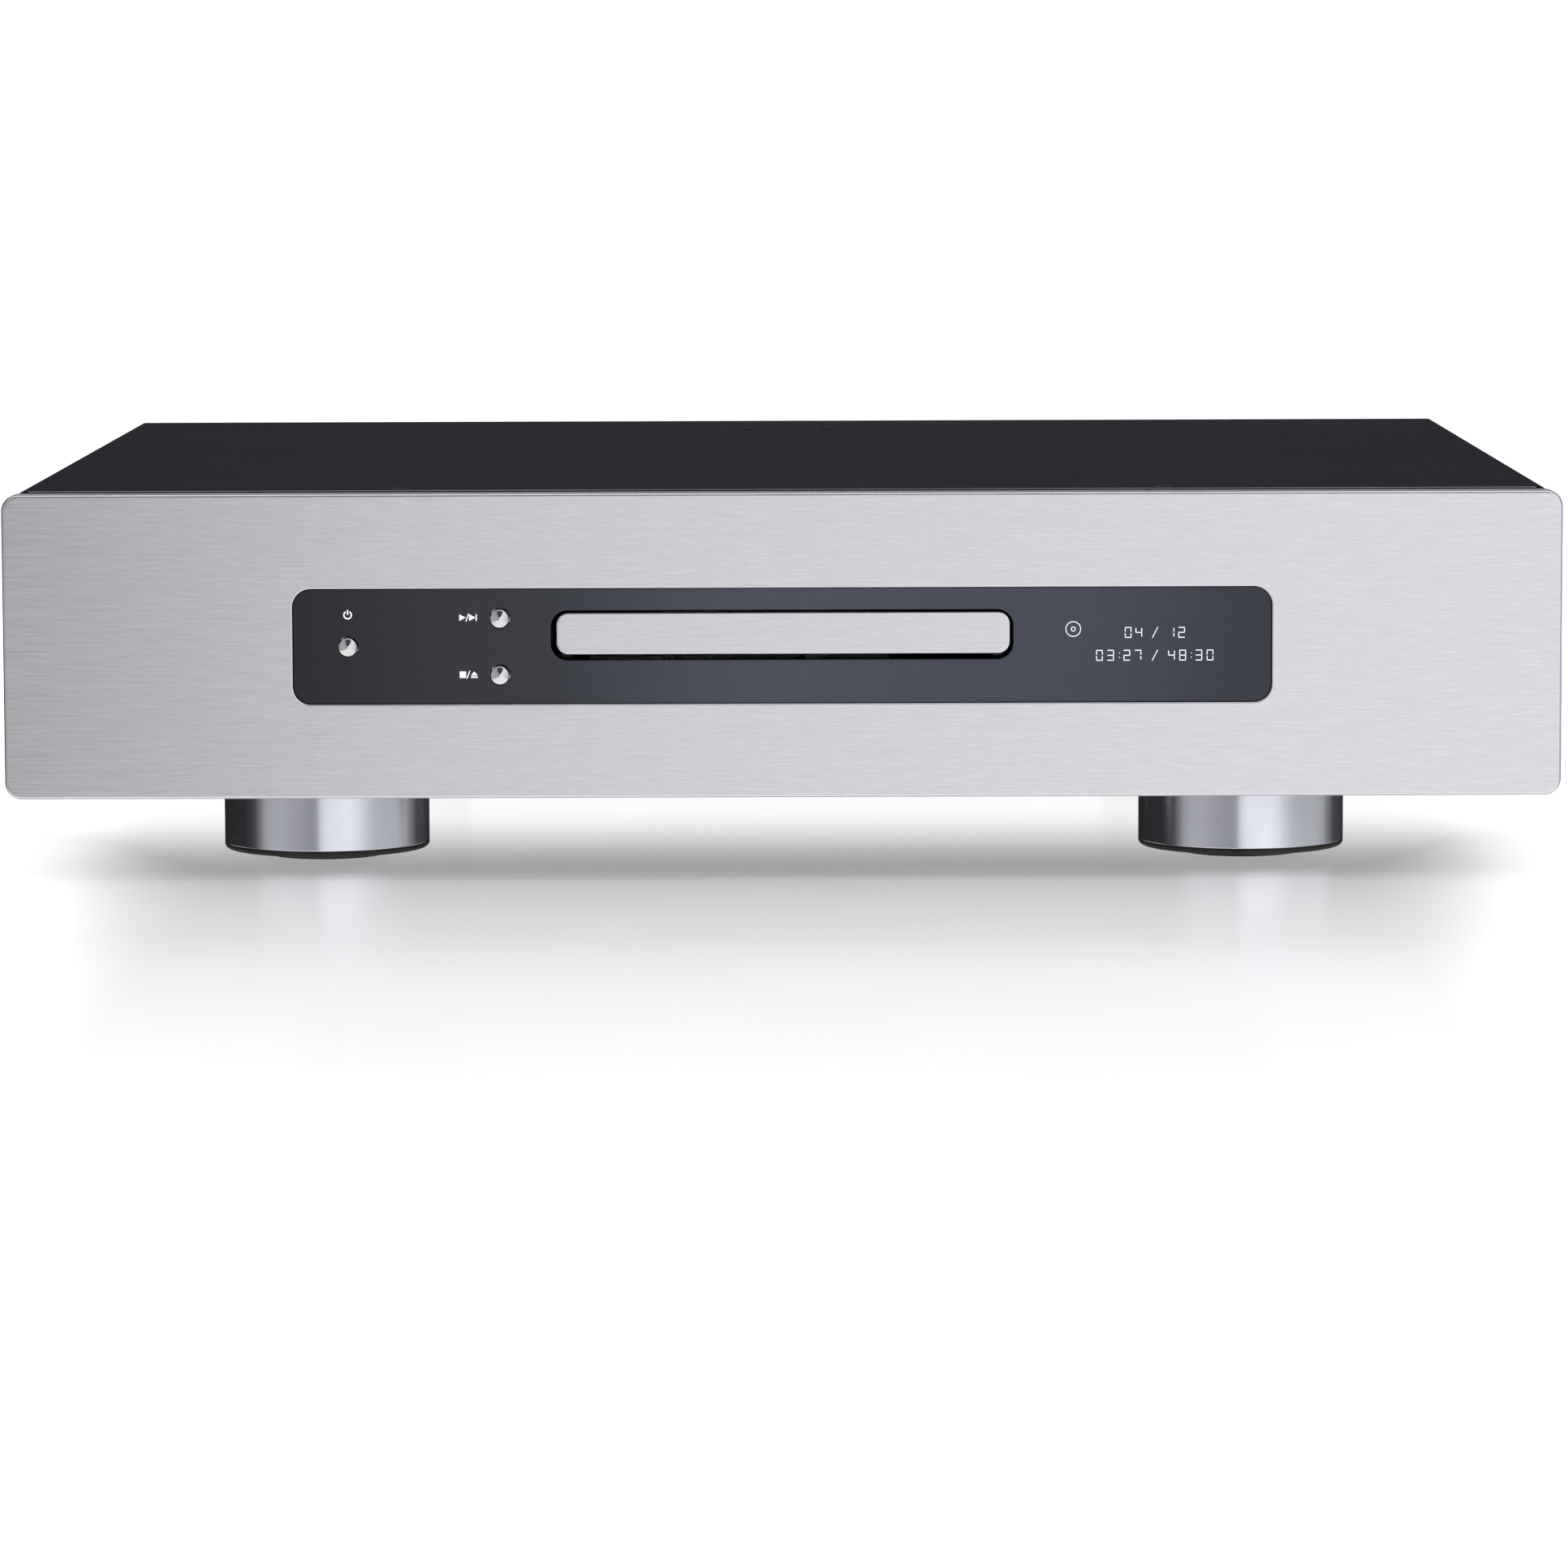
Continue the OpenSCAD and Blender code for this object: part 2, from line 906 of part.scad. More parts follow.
module heatsinks() {
  paint(silver)
    for (y = [40, 84])
      translate([-118, y, board_top]) {
        box([-2, -16, 0], [2, 16, 34]);
        for (i = [0 : 6])
          box([-14, -16 + 5 * i, 0], [14, -14.4 + 5 * i, 34]);
      }
}

module chip(x, y, w, d, h) {
  box([x - w / 2, y - d / 2, board_top], [x + w / 2, y + d / 2, board_top + h]);
}

module board_chips() {
  paint(black) {
    chip(130, -60, 24, 24, 2.4);
    chip(130, -100, 14, 20, 2);
    chip(160, -20, 12, 12, 2);
    chip(110, -14, 10, 18, 3);
    chip(150, 110, 18, 18, 2.4);
    chip(40, 104, 14, 10, 2);
    chip(40, 126, 14, 10, 2);
    chip(170, 84, 20, 12, 10);
    chip(-186, 122, 14, 26, 14);
    chip(-154, 124, 28, 16, 12);
    chip(-112, 122, 20, 20, 16);
    chip(100, 18, 30, 8, 8);
    chip(92, -126, 8, 28, 8);
    chip(100, 74, 30, 8, 8);
  }
}

module ribbon_cables() {
  paint(white) {
    box([88, 14, board_top + 8], [112, 15, board_top + 14]);
    box([88, 14, board_top + 14], [112, 78, board_top + 15]);
    box([88, 77, board_top + 8], [112, 78, board_top + 14]);
    box([90, -140, board_top + 8], [91, -112, board_top + 20]);
    box([90, -172.2, board_top + 20], [91, -112, board_top + 32]);
    box([90, -173.2, board_top + 20], [112, -172.2, board_top + 32]);
    box([92, -178.4, 63.5], [110, -172.2, 64.5]);
  }
}

// Wire through three points with round elbows
module wire(a, b, c, r) {
  rod_y(a[0], a[2], r, min(a[1], b[1]), max(a[1], b[1]));
  translate(b)
    sphere(r = r);
  post(b[0], b[1], r, min(b[2], c[2]), max(b[2], c[2]));
}

module mains_wires() {
  paint(grey) {
    for (i = [0, 1])
      wire(
        [inlet_x - 6 + 12 * i, 160, inlet_z],
        [inlet_x - 6 + 12 * i, 140, inlet_z],
        [inlet_x - 6 + 12 * i, 140, board_top],
        1.2
      );
    for (z = [-5, 5])
      wire(
        [rocker_x + z / 2, 158, rocker_z + z],
        [rocker_x + z / 2, 143 + z / 2, rocker_z + z],
        [rocker_x + z / 2, 143 + z / 2, board_top],
        1.2
      );
  }
}

// ---- Disc drive ----

module drive_chassis() {
  paint(dark)
    difference() {
      union() {
        box([-drive_wall - 4, drive_y0, drive_z0], [drive_wall + 4, drive_y1, drive_z1]);
        for (s = [-1, 1]) {
          box(
            [s > 0 ? drive_wall : -drive_wall - 4, drive_y0, drive_z0],
            [s > 0 ? drive_wall + 4 : -drive_wall, drive_y1, drive_top]
          );
          box(
            [s > 0 ? 58.5 : -drive_wall, drive_y0, ledge_z - 2],
            [s > 0 ? drive_wall : -58.5, drive_y1, ledge_z]
          );
          box(
            [s > 0 ? 46.5 : -50.5, 0, drive_z0],
            [s > 0 ? 50.5 : -46.5, 8, deck_z1]
          );
        }
        post(load_x, load_y, 3, drive_z0, 55.6);
        post(load_x, load_y, 1.5, 55, 62.4);
        post(pulley_x, load_y, 3, drive_z0, 51);
        post(pulley_x, load_y, 1.5, 50, 59);
        for (x = [-19, 41], y = [cam_y0 - 1.5, cam_y1 + gap])
          box([x - 3, y, drive_z0], [x + 3, y + 1.2, 53]);
      }
      box([-46.2, -137.6, drive_z0 - 1], [46.2, 10, drive_z1 + 1]);
      post(motor_x, load_y, 4, drive_z0 - 1, drive_z1 + 1);
      for (p = drive_posts)
        post(p[0], p[1], 3.5, drive_z0 - 1, drive_z1 + 0.5);
      rod_x(deck_pivot_y, deck_pivot_z, 2 + fit, -52, 52);
      for (s = [-1, 1], y = [-122, -94])
        post(s * 66, y, 1.2, drive_top - 6, drive_top + 1);
    }
}

module clamp_bridge() {
  paint(steel)
    difference() {
      union() {
        box([-68, -126, drive_top], [68, -90, drive_top + 1.6]);
        post(0, disc_y, 20, drive_top, drive_top + 1.6);
      }
      post(0, disc_y, 13.75, drive_top - 1, drive_top + 3);
      for (s = [-1, 1], y = [-122, -94])
        post(s * 66, y, 1.4, drive_top - 1, drive_top + 3);
    }
}

module loading_motor() {
  paint(steel) {
    post(motor_x, load_y, 10.5, 32, drive_z0);
    post(motor_x, load_y, 3.5, drive_z0, drive_z1);
    post(motor_x, load_y, 1, drive_z1, 51.1);
  }
}

module motor_pulley() {
  paint(white)
    difference() {
      post(motor_x, load_y, 4, 51.4, 55);
      difference() {
        post(motor_x, load_y, 5, 51.9, 54.1);
        post(motor_x, load_y, motor_groove, 51, 55);
      }
    }
}

module drive_belt() {
  paint(black)
    difference() {
      translate([0, load_y, belt_z0])
        linear_extrude(belt_z1 - belt_z0)
          belt_loop(pulley_x, pulley_groove + 1.3, motor_x, motor_groove + 1.3);
      translate([0, load_y, belt_z0 - 1])
        linear_extrude(belt_z1 - belt_z0 + 2)
          belt_loop(pulley_x, pulley_groove + gap, motor_x, motor_groove + gap);
    }
}

module pulley_gear() {
  paint(white)
    difference() {
      union() {
        post(pulley_x, load_y, 13, 51.3, 54.7);
        post(pulley_x, load_y, 5, 54.7, 55.8);
        translate([pulley_x, load_y, 55.8])
          rotate([0, 0, 180 / pinion_n])
            linear_extrude(3)
              gear(step_m, pinion_n);
      }
      difference() {
        post(pulley_x, load_y, 14, 51.9, 54.1);
        post(pulley_x, load_y, pulley_groove, 51, 55);
      }
      post(pulley_x, load_y, 1.5 + fit, 51, 60);
      for (i = [0 : 4])
        translate([pulley_x + 8.4 * cos(72 * i), load_y + 8.4 * sin(72 * i), 51])
          cylinder(r = 1.8, h = 4);
    }
}

module loading_gear() {
  paint(white)
    difference() {
      union() {
        translate([load_x, load_y, 56])
          linear_extrude(2.8)
            gear(step_m, step_n);
        post(load_x, load_y, 6, 58.8, 60.2);
        translate([load_x, load_y, 60.2])
          linear_extrude(2.4)
            gear(load_m, load_n);
      }
      post(load_x, load_y, 1.5 + fit, 55, 64);
    }
}

module cam_slider() {
  slope = atan(cam_drop / cam_travel);
  length = sqrt(cam_drop * cam_drop + cam_travel * cam_travel);
  r = cam_pin_r + gap;
  paint(white)
    upright(cam_y0, cam_y1)
      difference() {
        translate([-26, drive_z1 + gap])
          square([56, 11]);
        translate([cam_pin_x, cam_pin_z])
          rotate(180 + slope)
            translate([-r, -r])
              square([length + 2 * r, 2 * r]);
      }
}

module traverse_deck() {
  paint(grey)
    difference() {
      union() {
        box([-45, -136, deck_z0], [45, 1, deck_z1]);
        for (s = [-1, 1]) {
          box([s > 0 ? 38 : -45, 0, 48], [s > 0 ? 45 : -38, 8, deck_z1]);
          rod_x(deck_pivot_y, deck_pivot_z, 2, s > 0 ? 44 : -50.3, s > 0 ? 50.3 : -44);
          for (y = [-106, -28])
            box([s * rail_x - 3, y, deck_z1 - 1], [s * rail_x + 3, y + 4, 60]);
        }
        box([6, -136, deck_z1 - 1], [18, -134, 60.5]);
        rod_y(cam_pin_x, cam_pin_z, cam_pin_r, -143.6, -134);
        post(sled_x, sled_y, 2.2, deck_z0, 54.7);
        post(sled_x, sled_y, 1, deck_z0, 61.5);
      }
      post(0, disc_y, 5, deck_z0 - 1, deck_z1 + 1);
      box([-18, -97, deck_z0 - 1], [18, -30, deck_z1 + 1]);
      post(fine_x, fine_y, 2, deck_z0 - 1, deck_z1 + 1);
      for (s = [-1, 1])
        rod_y(s * rail_x, rod_z, rod_r, -104.5, -25.5);
      for (x = [-30, 30])
        post(x, -122, 5, deck_z0 - 1, deck_z1 + 1);
    }
}

module guide_rods() {
  paint(steel)
    for (s = [-1, 1])
      rod_y(s * rail_x, rod_z, rod_r, -104.5, -25.5);
}

module spindle_motor() {
  paint(steel)
    difference() {
      union() {
        post(0, disc_y, 11.5, 42, deck_z0);
        post(0, disc_y, 4.8, deck_z0, deck_z1);
      }
      post(0, disc_y, 1.2 + fit, 43, deck_z1 + 1);
    }
}

module turntable() {
  paint(dark) {
    post(0, disc_y, 14.5, 64.8, 67);
    post(0, disc_y, 6, 58, 64.8);
    post(0, disc_y, 1.2, 43.5, 58.1);
    translate([0, disc_y, 67])
      cylinder(r1 = 7.4, r2 = 6.4, h = 2.2);
  }
}

module clamper() {
  paint(dark)
    difference() {
      union() {
        post(0, disc_y, 13, 68.4, 76.3);
        post(0, disc_y, 17, 76, 77.8);
      }
      post(0, disc_y, 8.2, 68, 69.9);
      post(0, disc_y, 10, 71.4, 78);
    }
}

module clamper_magnet() {
  paint(steel)
    difference() {
      post(0, disc_y, 9.9, 71.4, 74.4);
      post(0, disc_y, 4, 71, 75);
    }
}

module pickup_sled() {
  paint(dark)
    difference() {
      union() {
        box([-28, -95, 54.4], [28, -71, 60]);
        box([-16, -93, 49], [16, -74, 54.4]);
        post(0, lens_y, 9, 60, 62.2);
        translate([0, 0, 55])
          linear_extrude(2.8)
            rack(sled_m, sled_rack_x, sled_y, -104, -56, 27.6);
      }
      for (s = [-1, 1])
        rod_y(s * rail_x, rod_z, rod_r + fit, -110, -50);
      post(0, lens_y, 4.2, 58, 63);
    }
}

module objective_lens() {
  paint([0.5, 0.6, 0.8]) {
    post(0, lens_y, 4.2, 58, 62.6);
    translate([0, lens_y, 62.6])
      cylinder(r1 = 3.6, r2 = 2.2, h = 1.6);
  }
}

module sled_gear() {
  paint(white)
    difference() {
      union() {
        translate([sled_x, sled_y, 55])
          linear_extrude(2.8)
            gear(sled_m, sled_n);
        translate([sled_x, sled_y, 57.8])
          rotate([0, 0, fine_a % (360 / fine_n)])
            linear_extrude(2.8)
              gear(fine_m, fine_n, 0.08);
      }
      post(sled_x, sled_y, 1 + fit, 54, 62);
    }
}

module sled_pinion() {
  paint(gold)
    difference() {
      union() {
        translate([fine_x, fine_y, 58.3])
          rotate([0, 0, fine_a - 180 + 180 / fine_pinion_n])
            linear_extrude(2.2)
              gear(fine_m, fine_pinion_n, 0.08);
        post(fine_x, fine_y, 1.3, 55, 58.3);
      }
      post(fine_x, fine_y, 0.6 + fit, 54, 60.2);
    }
}

module sled_motor() {
  paint(steel) {
    post(fine_x, fine_y, 7, 41, deck_z0);
    post(fine_x, fine_y, 1.9, deck_z0, deck_z1);
    post(fine_x, fine_y, 0.6, deck_z1, 60);
  }
}

module disc_tray() {
  paint(dark)
    difference() {
      union() {
        box([-tray_x, tray_y0, tray_base_z], [tray_x, tray_y1, rim_z]);
        box([58.2, tray_y0, runner_z], [60.8, tray_y1, tray_base_z]);
        box([-60.8, tray_y0, runner_z], [-58.2, tray_y1, tray_base_z]);
        translate([0, 0, runner_z])
          linear_extrude(tray_base_z - runner_z)
            rack(load_m, rack_x, load_y, -172, 2, -59);
      }
      post(0, disc_y, disc_recess_d / 2, recess_z, rim_z + 1);
      post(0, disc_y, 40.6, recess_z - 1, rim_z + 1);
      post(0, disc_y, hub_slot, tray_base_z - 1, rim_z + 1);
      box([-hub_slot, disc_y, tray_base_z - 1], [hub_slot, tray_y1 + 1, rim_z + 1]);
      for (s = [-1, 1])
        post(s * 62.5, disc_y, 12, recess_z, rim_z + 1);
    }
}

module tray_front() {
  paint(silver)
    upright(tray_y0 - 4, tray_y0)
      translate([tray_front_x, tray_front_z])
        rounded(tray_front_w, tray_front_h, 3.4);
}

front_panel();
window_panel();
window_carrier();
display_module();
ir_receiver();
front_board();
tact_switches();
front_subframe();
panel_spacers();
machine_screws();
chassis_pan();
rear_panel();
top_cover();
cover_screws();
foot_housings();
foot_rims();
foot_pads();
power_inlet();
rocker_housing();
mains_rocker();
xlr_sockets();
rca_sockets();
rca_insulators();
optical_socket();
main_board();
servo_board();
power_board();
standoffs();
transformer();
transformer_clamp();
capacitors();
heatsinks();
board_chips();
ribbon_cables();
mains_wires();
drive_chassis();
drive_grommets();
clamp_bridge();
loading_motor();
motor_pulley();
drive_belt();
pulley_gear();
loading_gear();
cam_slider();
traverse_deck();
guide_rods();
sled_motor();
sled_pinion();
sled_gear();
spindle_motor();
turntable();
clamper();
clamper_magnet();
pickup_sled();
objective_lens();
disc_tray();
tray_front();
power_button();
play_button();
stop_button();
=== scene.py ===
"""Looks of the full-width CD player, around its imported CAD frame. Metres, +Z up."""

import json
import math

import bmesh
import bpy
from mathutils import Matrix, Vector


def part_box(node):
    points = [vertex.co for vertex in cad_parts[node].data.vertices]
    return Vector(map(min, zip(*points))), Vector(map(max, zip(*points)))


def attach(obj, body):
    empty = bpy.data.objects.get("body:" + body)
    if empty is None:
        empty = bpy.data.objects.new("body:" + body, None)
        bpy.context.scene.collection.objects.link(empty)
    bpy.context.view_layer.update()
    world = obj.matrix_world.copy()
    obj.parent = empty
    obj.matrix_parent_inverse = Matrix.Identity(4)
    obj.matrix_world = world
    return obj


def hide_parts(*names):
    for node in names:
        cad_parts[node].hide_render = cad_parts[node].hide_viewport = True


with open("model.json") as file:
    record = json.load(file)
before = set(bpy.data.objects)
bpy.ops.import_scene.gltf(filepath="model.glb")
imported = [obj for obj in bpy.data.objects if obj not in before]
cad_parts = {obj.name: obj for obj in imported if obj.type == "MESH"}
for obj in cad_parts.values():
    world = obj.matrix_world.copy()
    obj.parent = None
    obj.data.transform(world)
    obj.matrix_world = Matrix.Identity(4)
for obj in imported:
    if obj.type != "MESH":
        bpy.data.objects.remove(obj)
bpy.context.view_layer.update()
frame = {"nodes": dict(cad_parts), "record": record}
nodes = frame["nodes"]
MM = 0.001


# ---------------------------------------------------------------- camera

camera_data = bpy.data.cameras.new("camera")
camera = bpy.data.objects.new("camera", camera_data)
bpy.context.scene.collection.objects.link(camera)
bpy.context.scene.camera = camera
camera_data.lens = 159.1
camera_data.sensor_width = 36
camera_data.clip_end = 50
camera.location = (0.0084, -2.0942, 0.2287)
yaw, pitch, roll = math.radians(0.241), math.radians(6.057), math.radians(-0.2055)
aim = (Matrix.Rotation(yaw, 3, "Z") @ Matrix.Rotation(math.pi / 2 - pitch, 3, "X")
       @ Matrix.Rotation(roll, 3, "Z"))
camera.rotation_euler = aim.to_euler()


# ---------------------------------------------------------------- node helpers


def grey(v):
    """An opaque colour from one number or three."""
    return (v, v, v, 1) if isinstance(v, (int, float)) else (*v, 1)


def plug(tree, socket, value):
    """Sets a socket to a number or colour, or links an output to it."""
    if isinstance(value, bpy.types.NodeSocket):
        tree.links.new(value, socket)
    else:
        socket.default_value = value


def calc(tree, operation, *values):
    """One sum on outputs or numbers."""
    node = tree.nodes.new("ShaderNodeMath")
    node.operation = operation
    for socket, value in zip(node.inputs, values):
        plug(tree, socket, value)
    return node.outputs[0]


def fade(tree, value, start, end, low=0.0, high=1.0):
    """A smooth change from low to high as value goes from start to end."""
    node = tree.nodes.new("ShaderNodeMapRange")
    node.interpolation_type = "SMOOTHSTEP"
    for key, setting in (("Value", value), ("From Min", start), ("From Max", end), ("To Min", low),
                         ("To Max", high)):
        plug(tree, node.inputs[key], setting)
    return node.outputs["Result"]


def mix_colour(tree, fac, a, b):
    """The colour a where fac is 0 and b where it is 1."""
    node = tree.nodes.new("ShaderNodeMix")
    node.data_type = "RGBA"
    for key, setting in (("Factor", fac), ("A", a), ("B", b)):
        plug(tree, node.inputs[key], setting)
    return node.outputs["Result"]


def mix_shader(tree, fac, a, b):
    """The shader a where fac is 0 and b where it is 1."""
    node = tree.nodes.new("ShaderNodeMixShader")
    for socket, output in zip(node.inputs, (fac, a, b)):
        tree.links.new(output, socket)
    return node.outputs["Shader"]


def colour_stops(tree, fac, stops):
    """A smooth colour ramp through stops of (position, colour)."""
    node = tree.nodes.new("ShaderNodeValToRGB")
    node.color_ramp.interpolation = "EASE"
    elements = node.color_ramp.elements
    for k, (at, colour) in enumerate(stops):
        stop = elements[k] if k < 2 else elements.new(at)
        stop.position = at
        stop.color = grey(colour)
    tree.links.new(fac, node.inputs["Fac"])
    return node.outputs["Color"]


# ---------------------------------------------------------------- materials


class Look:
    """A node material with its own texture space in object coordinates, in metres."""

    def __init__(self, name):
        self.mat = bpy.data.materials.new(name)
        self.mat.use_nodes = True
        self.tree = self.mat.node_tree
        self.bsdf = self.tree.nodes["Principled BSDF"]
        self.coord = self.tree.nodes.new("ShaderNodeTexCoord")

    def add(self, kind, **sockets):
        """A node with its sockets set by name, with _ for a space."""
        node = self.tree.nodes.new(kind)
        for key, value in sockets.items():
            node.inputs[key.replace("_", " ")].default_value = value
        return node

    def link(self, a, b):
        self.tree.links.new(a, b)

    def noise(self, stretch, detail=4.0, rough=0.55):
        """Noise with that many features per metre along each axis."""
        place = self.add("ShaderNodeMapping")
        place.inputs["Scale"].default_value = stretch
        self.link(self.coord.outputs["Object"], place.inputs["Vector"])
        tex = self.add("ShaderNodeTexNoise", Scale=1.0, Detail=detail, Roughness=rough)
        self.link(place.outputs["Vector"], tex.inputs["Vector"])
        return tex.outputs["Fac"]

    def ramp(self, fac, low, high, a=0.35, b=0.65):
        """A value or colour from low to high as fac goes from a to b."""
        node = self.add("ShaderNodeValToRGB")
        first, last = node.color_ramp.elements
        first.position, last.position = a, b
        first.color = grey(low)
        last.color = grey(high)
        self.link(fac, node.inputs["Fac"])
        return node.outputs["Color"]

    def bump(self, height, strength, distance):
        node = self.add("ShaderNodeBump", Strength=strength, Distance=distance)
        self.link(height, node.inputs["Height"])
        self.link(node.outputs["Normal"], self.bsdf.inputs["Normal"])

    def set(self, **sockets):
        """Values that are the same all over the surface."""
        for key, value in sockets.items():
            self.bsdf.inputs[key.replace("_", " ")].default_value = value

    def drive(self, key, source):
        self.link(source, self.bsdf.inputs[key])


def plain(name, dark, light, rough, size=900.0, bump=0.15, depth=0.00005, metal=0.0, **extra):
    """A painted, moulded or plated surface: mottled colour, uneven gloss and fine grain."""
    look = Look(name)
    cloud = look.noise((size * 0.05,) * 3, 3.0)
    grain = look.noise((size,) * 3, 3.0)
    look.drive("Base Color", look.ramp(cloud, dark, light))
    look.drive("Roughness", look.ramp(look.noise((size * 0.2,) * 3, 4.0), rough[0], rough[1]))
    look.set(Metallic=metal, **extra)
    look.bump(grain, bump, depth)
    return look.mat


def brushed(name, dark, light, rough):
    """Aluminium brushed along X: long streaks with shorter, finer ones over them."""
    look = Look(name)
    long_grain = look.noise((50, 1700, 1700), 5.0, 0.7)
    short_grain = look.noise((150, 3740, 3740), 3.0, 0.6)
    both = mix_colour(look.tree, look.ramp(short_grain, 0.2, 0.8), look.ramp(long_grain, dark, light, 0.3, 0.7),
                      look.ramp(short_grain, dark, light, 0.3, 0.7))
    look.drive("Base Color", both)
    look.drive("Roughness", look.ramp(long_grain, rough[0], rough[1], 0.3, 0.7))
    look.set(Metallic=1.0, Anisotropic=0.88, Anisotropic_Rotation=0.25)
    look.bump(long_grain, 0.12, 0.00002)
    return look.mat


def turned(name, dark, light, rough, aniso=0.7):
    """Aluminium turned on a lathe: fine rings round Z."""
    look = Look(name)
    rings = look.noise((30, 30, 5200), 4.0, 0.7)
    cloud = look.noise((60, 60, 60), 3.0)
    look.drive("Base Color", look.ramp(cloud, dark, light))
    look.drive("Roughness", look.ramp(rings, rough[0], rough[1]))
    look.set(Metallic=1.0, Anisotropic=aniso, Anisotropic_Rotation=0.25)
    look.bump(rings, 0.05, 0.00001)
    return look.mat


def winding(name, centre, turns=96):
    """Tape wound round a ring core: narrow overlapping turns, spaced evenly round the core's axis."""
    look = Look(name)
    place = look.add("ShaderNodeMapping", Location=[-c for c in centre])
    look.link(look.coord.outputs["Object"], place.inputs["Vector"])
    angle = look.add("ShaderNodeTexGradient")
    angle.gradient_type = "RADIAL"
    look.link(place.outputs["Vector"], angle.inputs["Vector"])
    lap = calc(look.tree, "FRACT", calc(look.tree, "MULTIPLY", angle.outputs["Fac"], turns))
    worn = look.noise((120, 120, 120), 4.0, 0.6)
    tone = mix_colour(look.tree, worn, look.ramp(lap, (0.40, 0.21, 0.05), (0.56, 0.31, 0.09), 0.0, 0.25),
                      look.ramp(lap, (0.50, 0.27, 0.07), (0.66, 0.38, 0.12), 0.0, 0.25))
    look.drive("Base Color", tone)
    look.drive("Roughness", look.ramp(look.noise((300, 300, 300)), 0.25, 0.5))
    look.set(Coat_Weight=0.4)
    look.bump(lap, 0.4, 0.0004)
    return look.mat


def board(name):
    """Green solder mask with faint tracks under it."""
    look = Look(name)
    brick = look.add("ShaderNodeTexBrick", Scale=260.0, Mortar_Size=0.06, Bias=0.2)
    brick.inputs["Color1"].default_value = grey((0.010, 0.085, 0.035))
    brick.inputs["Color2"].default_value = grey((0.014, 0.115, 0.050))
    brick.inputs["Mortar"].default_value = grey((0.030, 0.190, 0.090))
    look.link(look.coord.outputs["Object"], brick.inputs["Vector"])
    look.drive("Base Color", brick.outputs["Color"])
    look.drive("Roughness", look.ramp(look.noise((500, 500, 500)), 0.22, 0.42))
    look.bump(brick.outputs["Fac"], 0.15, 0.00005)
    return look.mat


def glow(name, colour, strength):
    """A lit or printed mark: slightly uneven, with a matt face."""
    look = Look(name)
    cloud = look.noise((900, 900, 900), 2.0)
    look.drive("Base Color", look.ramp(cloud, [c * 0.9 for c in colour], colour))
    look.drive("Roughness", look.ramp(cloud, 0.5, 0.7))
    look.set(Emission_Color=grey(colour), Emission_Strength=strength)
    return look.mat


def window_look():
    """Smoked acrylic: a painted bluish reflection that is brightest near its middle, and faint polishing haze.
    """
    look = Look("dark_window")
    place = look.add("ShaderNodeSeparateXYZ")
    look.link(look.coord.outputs["Object"], place.inputs[0])
    depth = look.add("ShaderNodeMapRange")
    depth.inputs["From Min"].default_value = -0.14
    depth.inputs["From Max"].default_value = 0.14
    look.link(place.outputs["X"], depth.inputs["Value"])
    haze = look.noise((260, 260, 260), 5.0, 0.6)
    # Painted reflection: the base colour across X is dark at the ends and bluish and lightest near the middle.
    painted_reflection_tint = colour_stops(look.tree, depth.outputs["Result"], [
        (0.0, (0.006, 0.007, 0.010)), (0.2, (0.020, 0.022, 0.032)), (0.5, (0.062, 0.070, 0.100)),
        (0.75, (0.050, 0.056, 0.086)), (1.0, (0.020, 0.023, 0.040))])
    hazy = mix_colour(look.tree, look.ramp(haze, 0.0, 0.12), painted_reflection_tint, look.ramp(haze, 0.02, 0.03))
    look.drive("Base Color", hazy)
    look.drive("Roughness", look.ramp(haze, 0.10, 0.17))
    look.set(IOR=1.49)
    look.bump(look.noise((40, 40, 40), 2.0), 0.02, 0.0001)
    return look.mat


def paint_look():
    """Black powder coat with a fine even texture."""
    look = Look("black_paint")
    grain = look.noise((1500, 1500, 1500), 3.0, 0.6)
    cloud = look.noise((14, 14, 14), 3.0)
    look.drive("Base Color", look.ramp(cloud, (0.0105, 0.0115, 0.0165), (0.0130, 0.0142, 0.0202)))
    look.drive("Roughness", look.ramp(grain, 0.46, 0.62))
    look.set(Specular_IOR_Level=0.07)
    look.bump(grain, 0.35, 0.00006)
    return look.mat


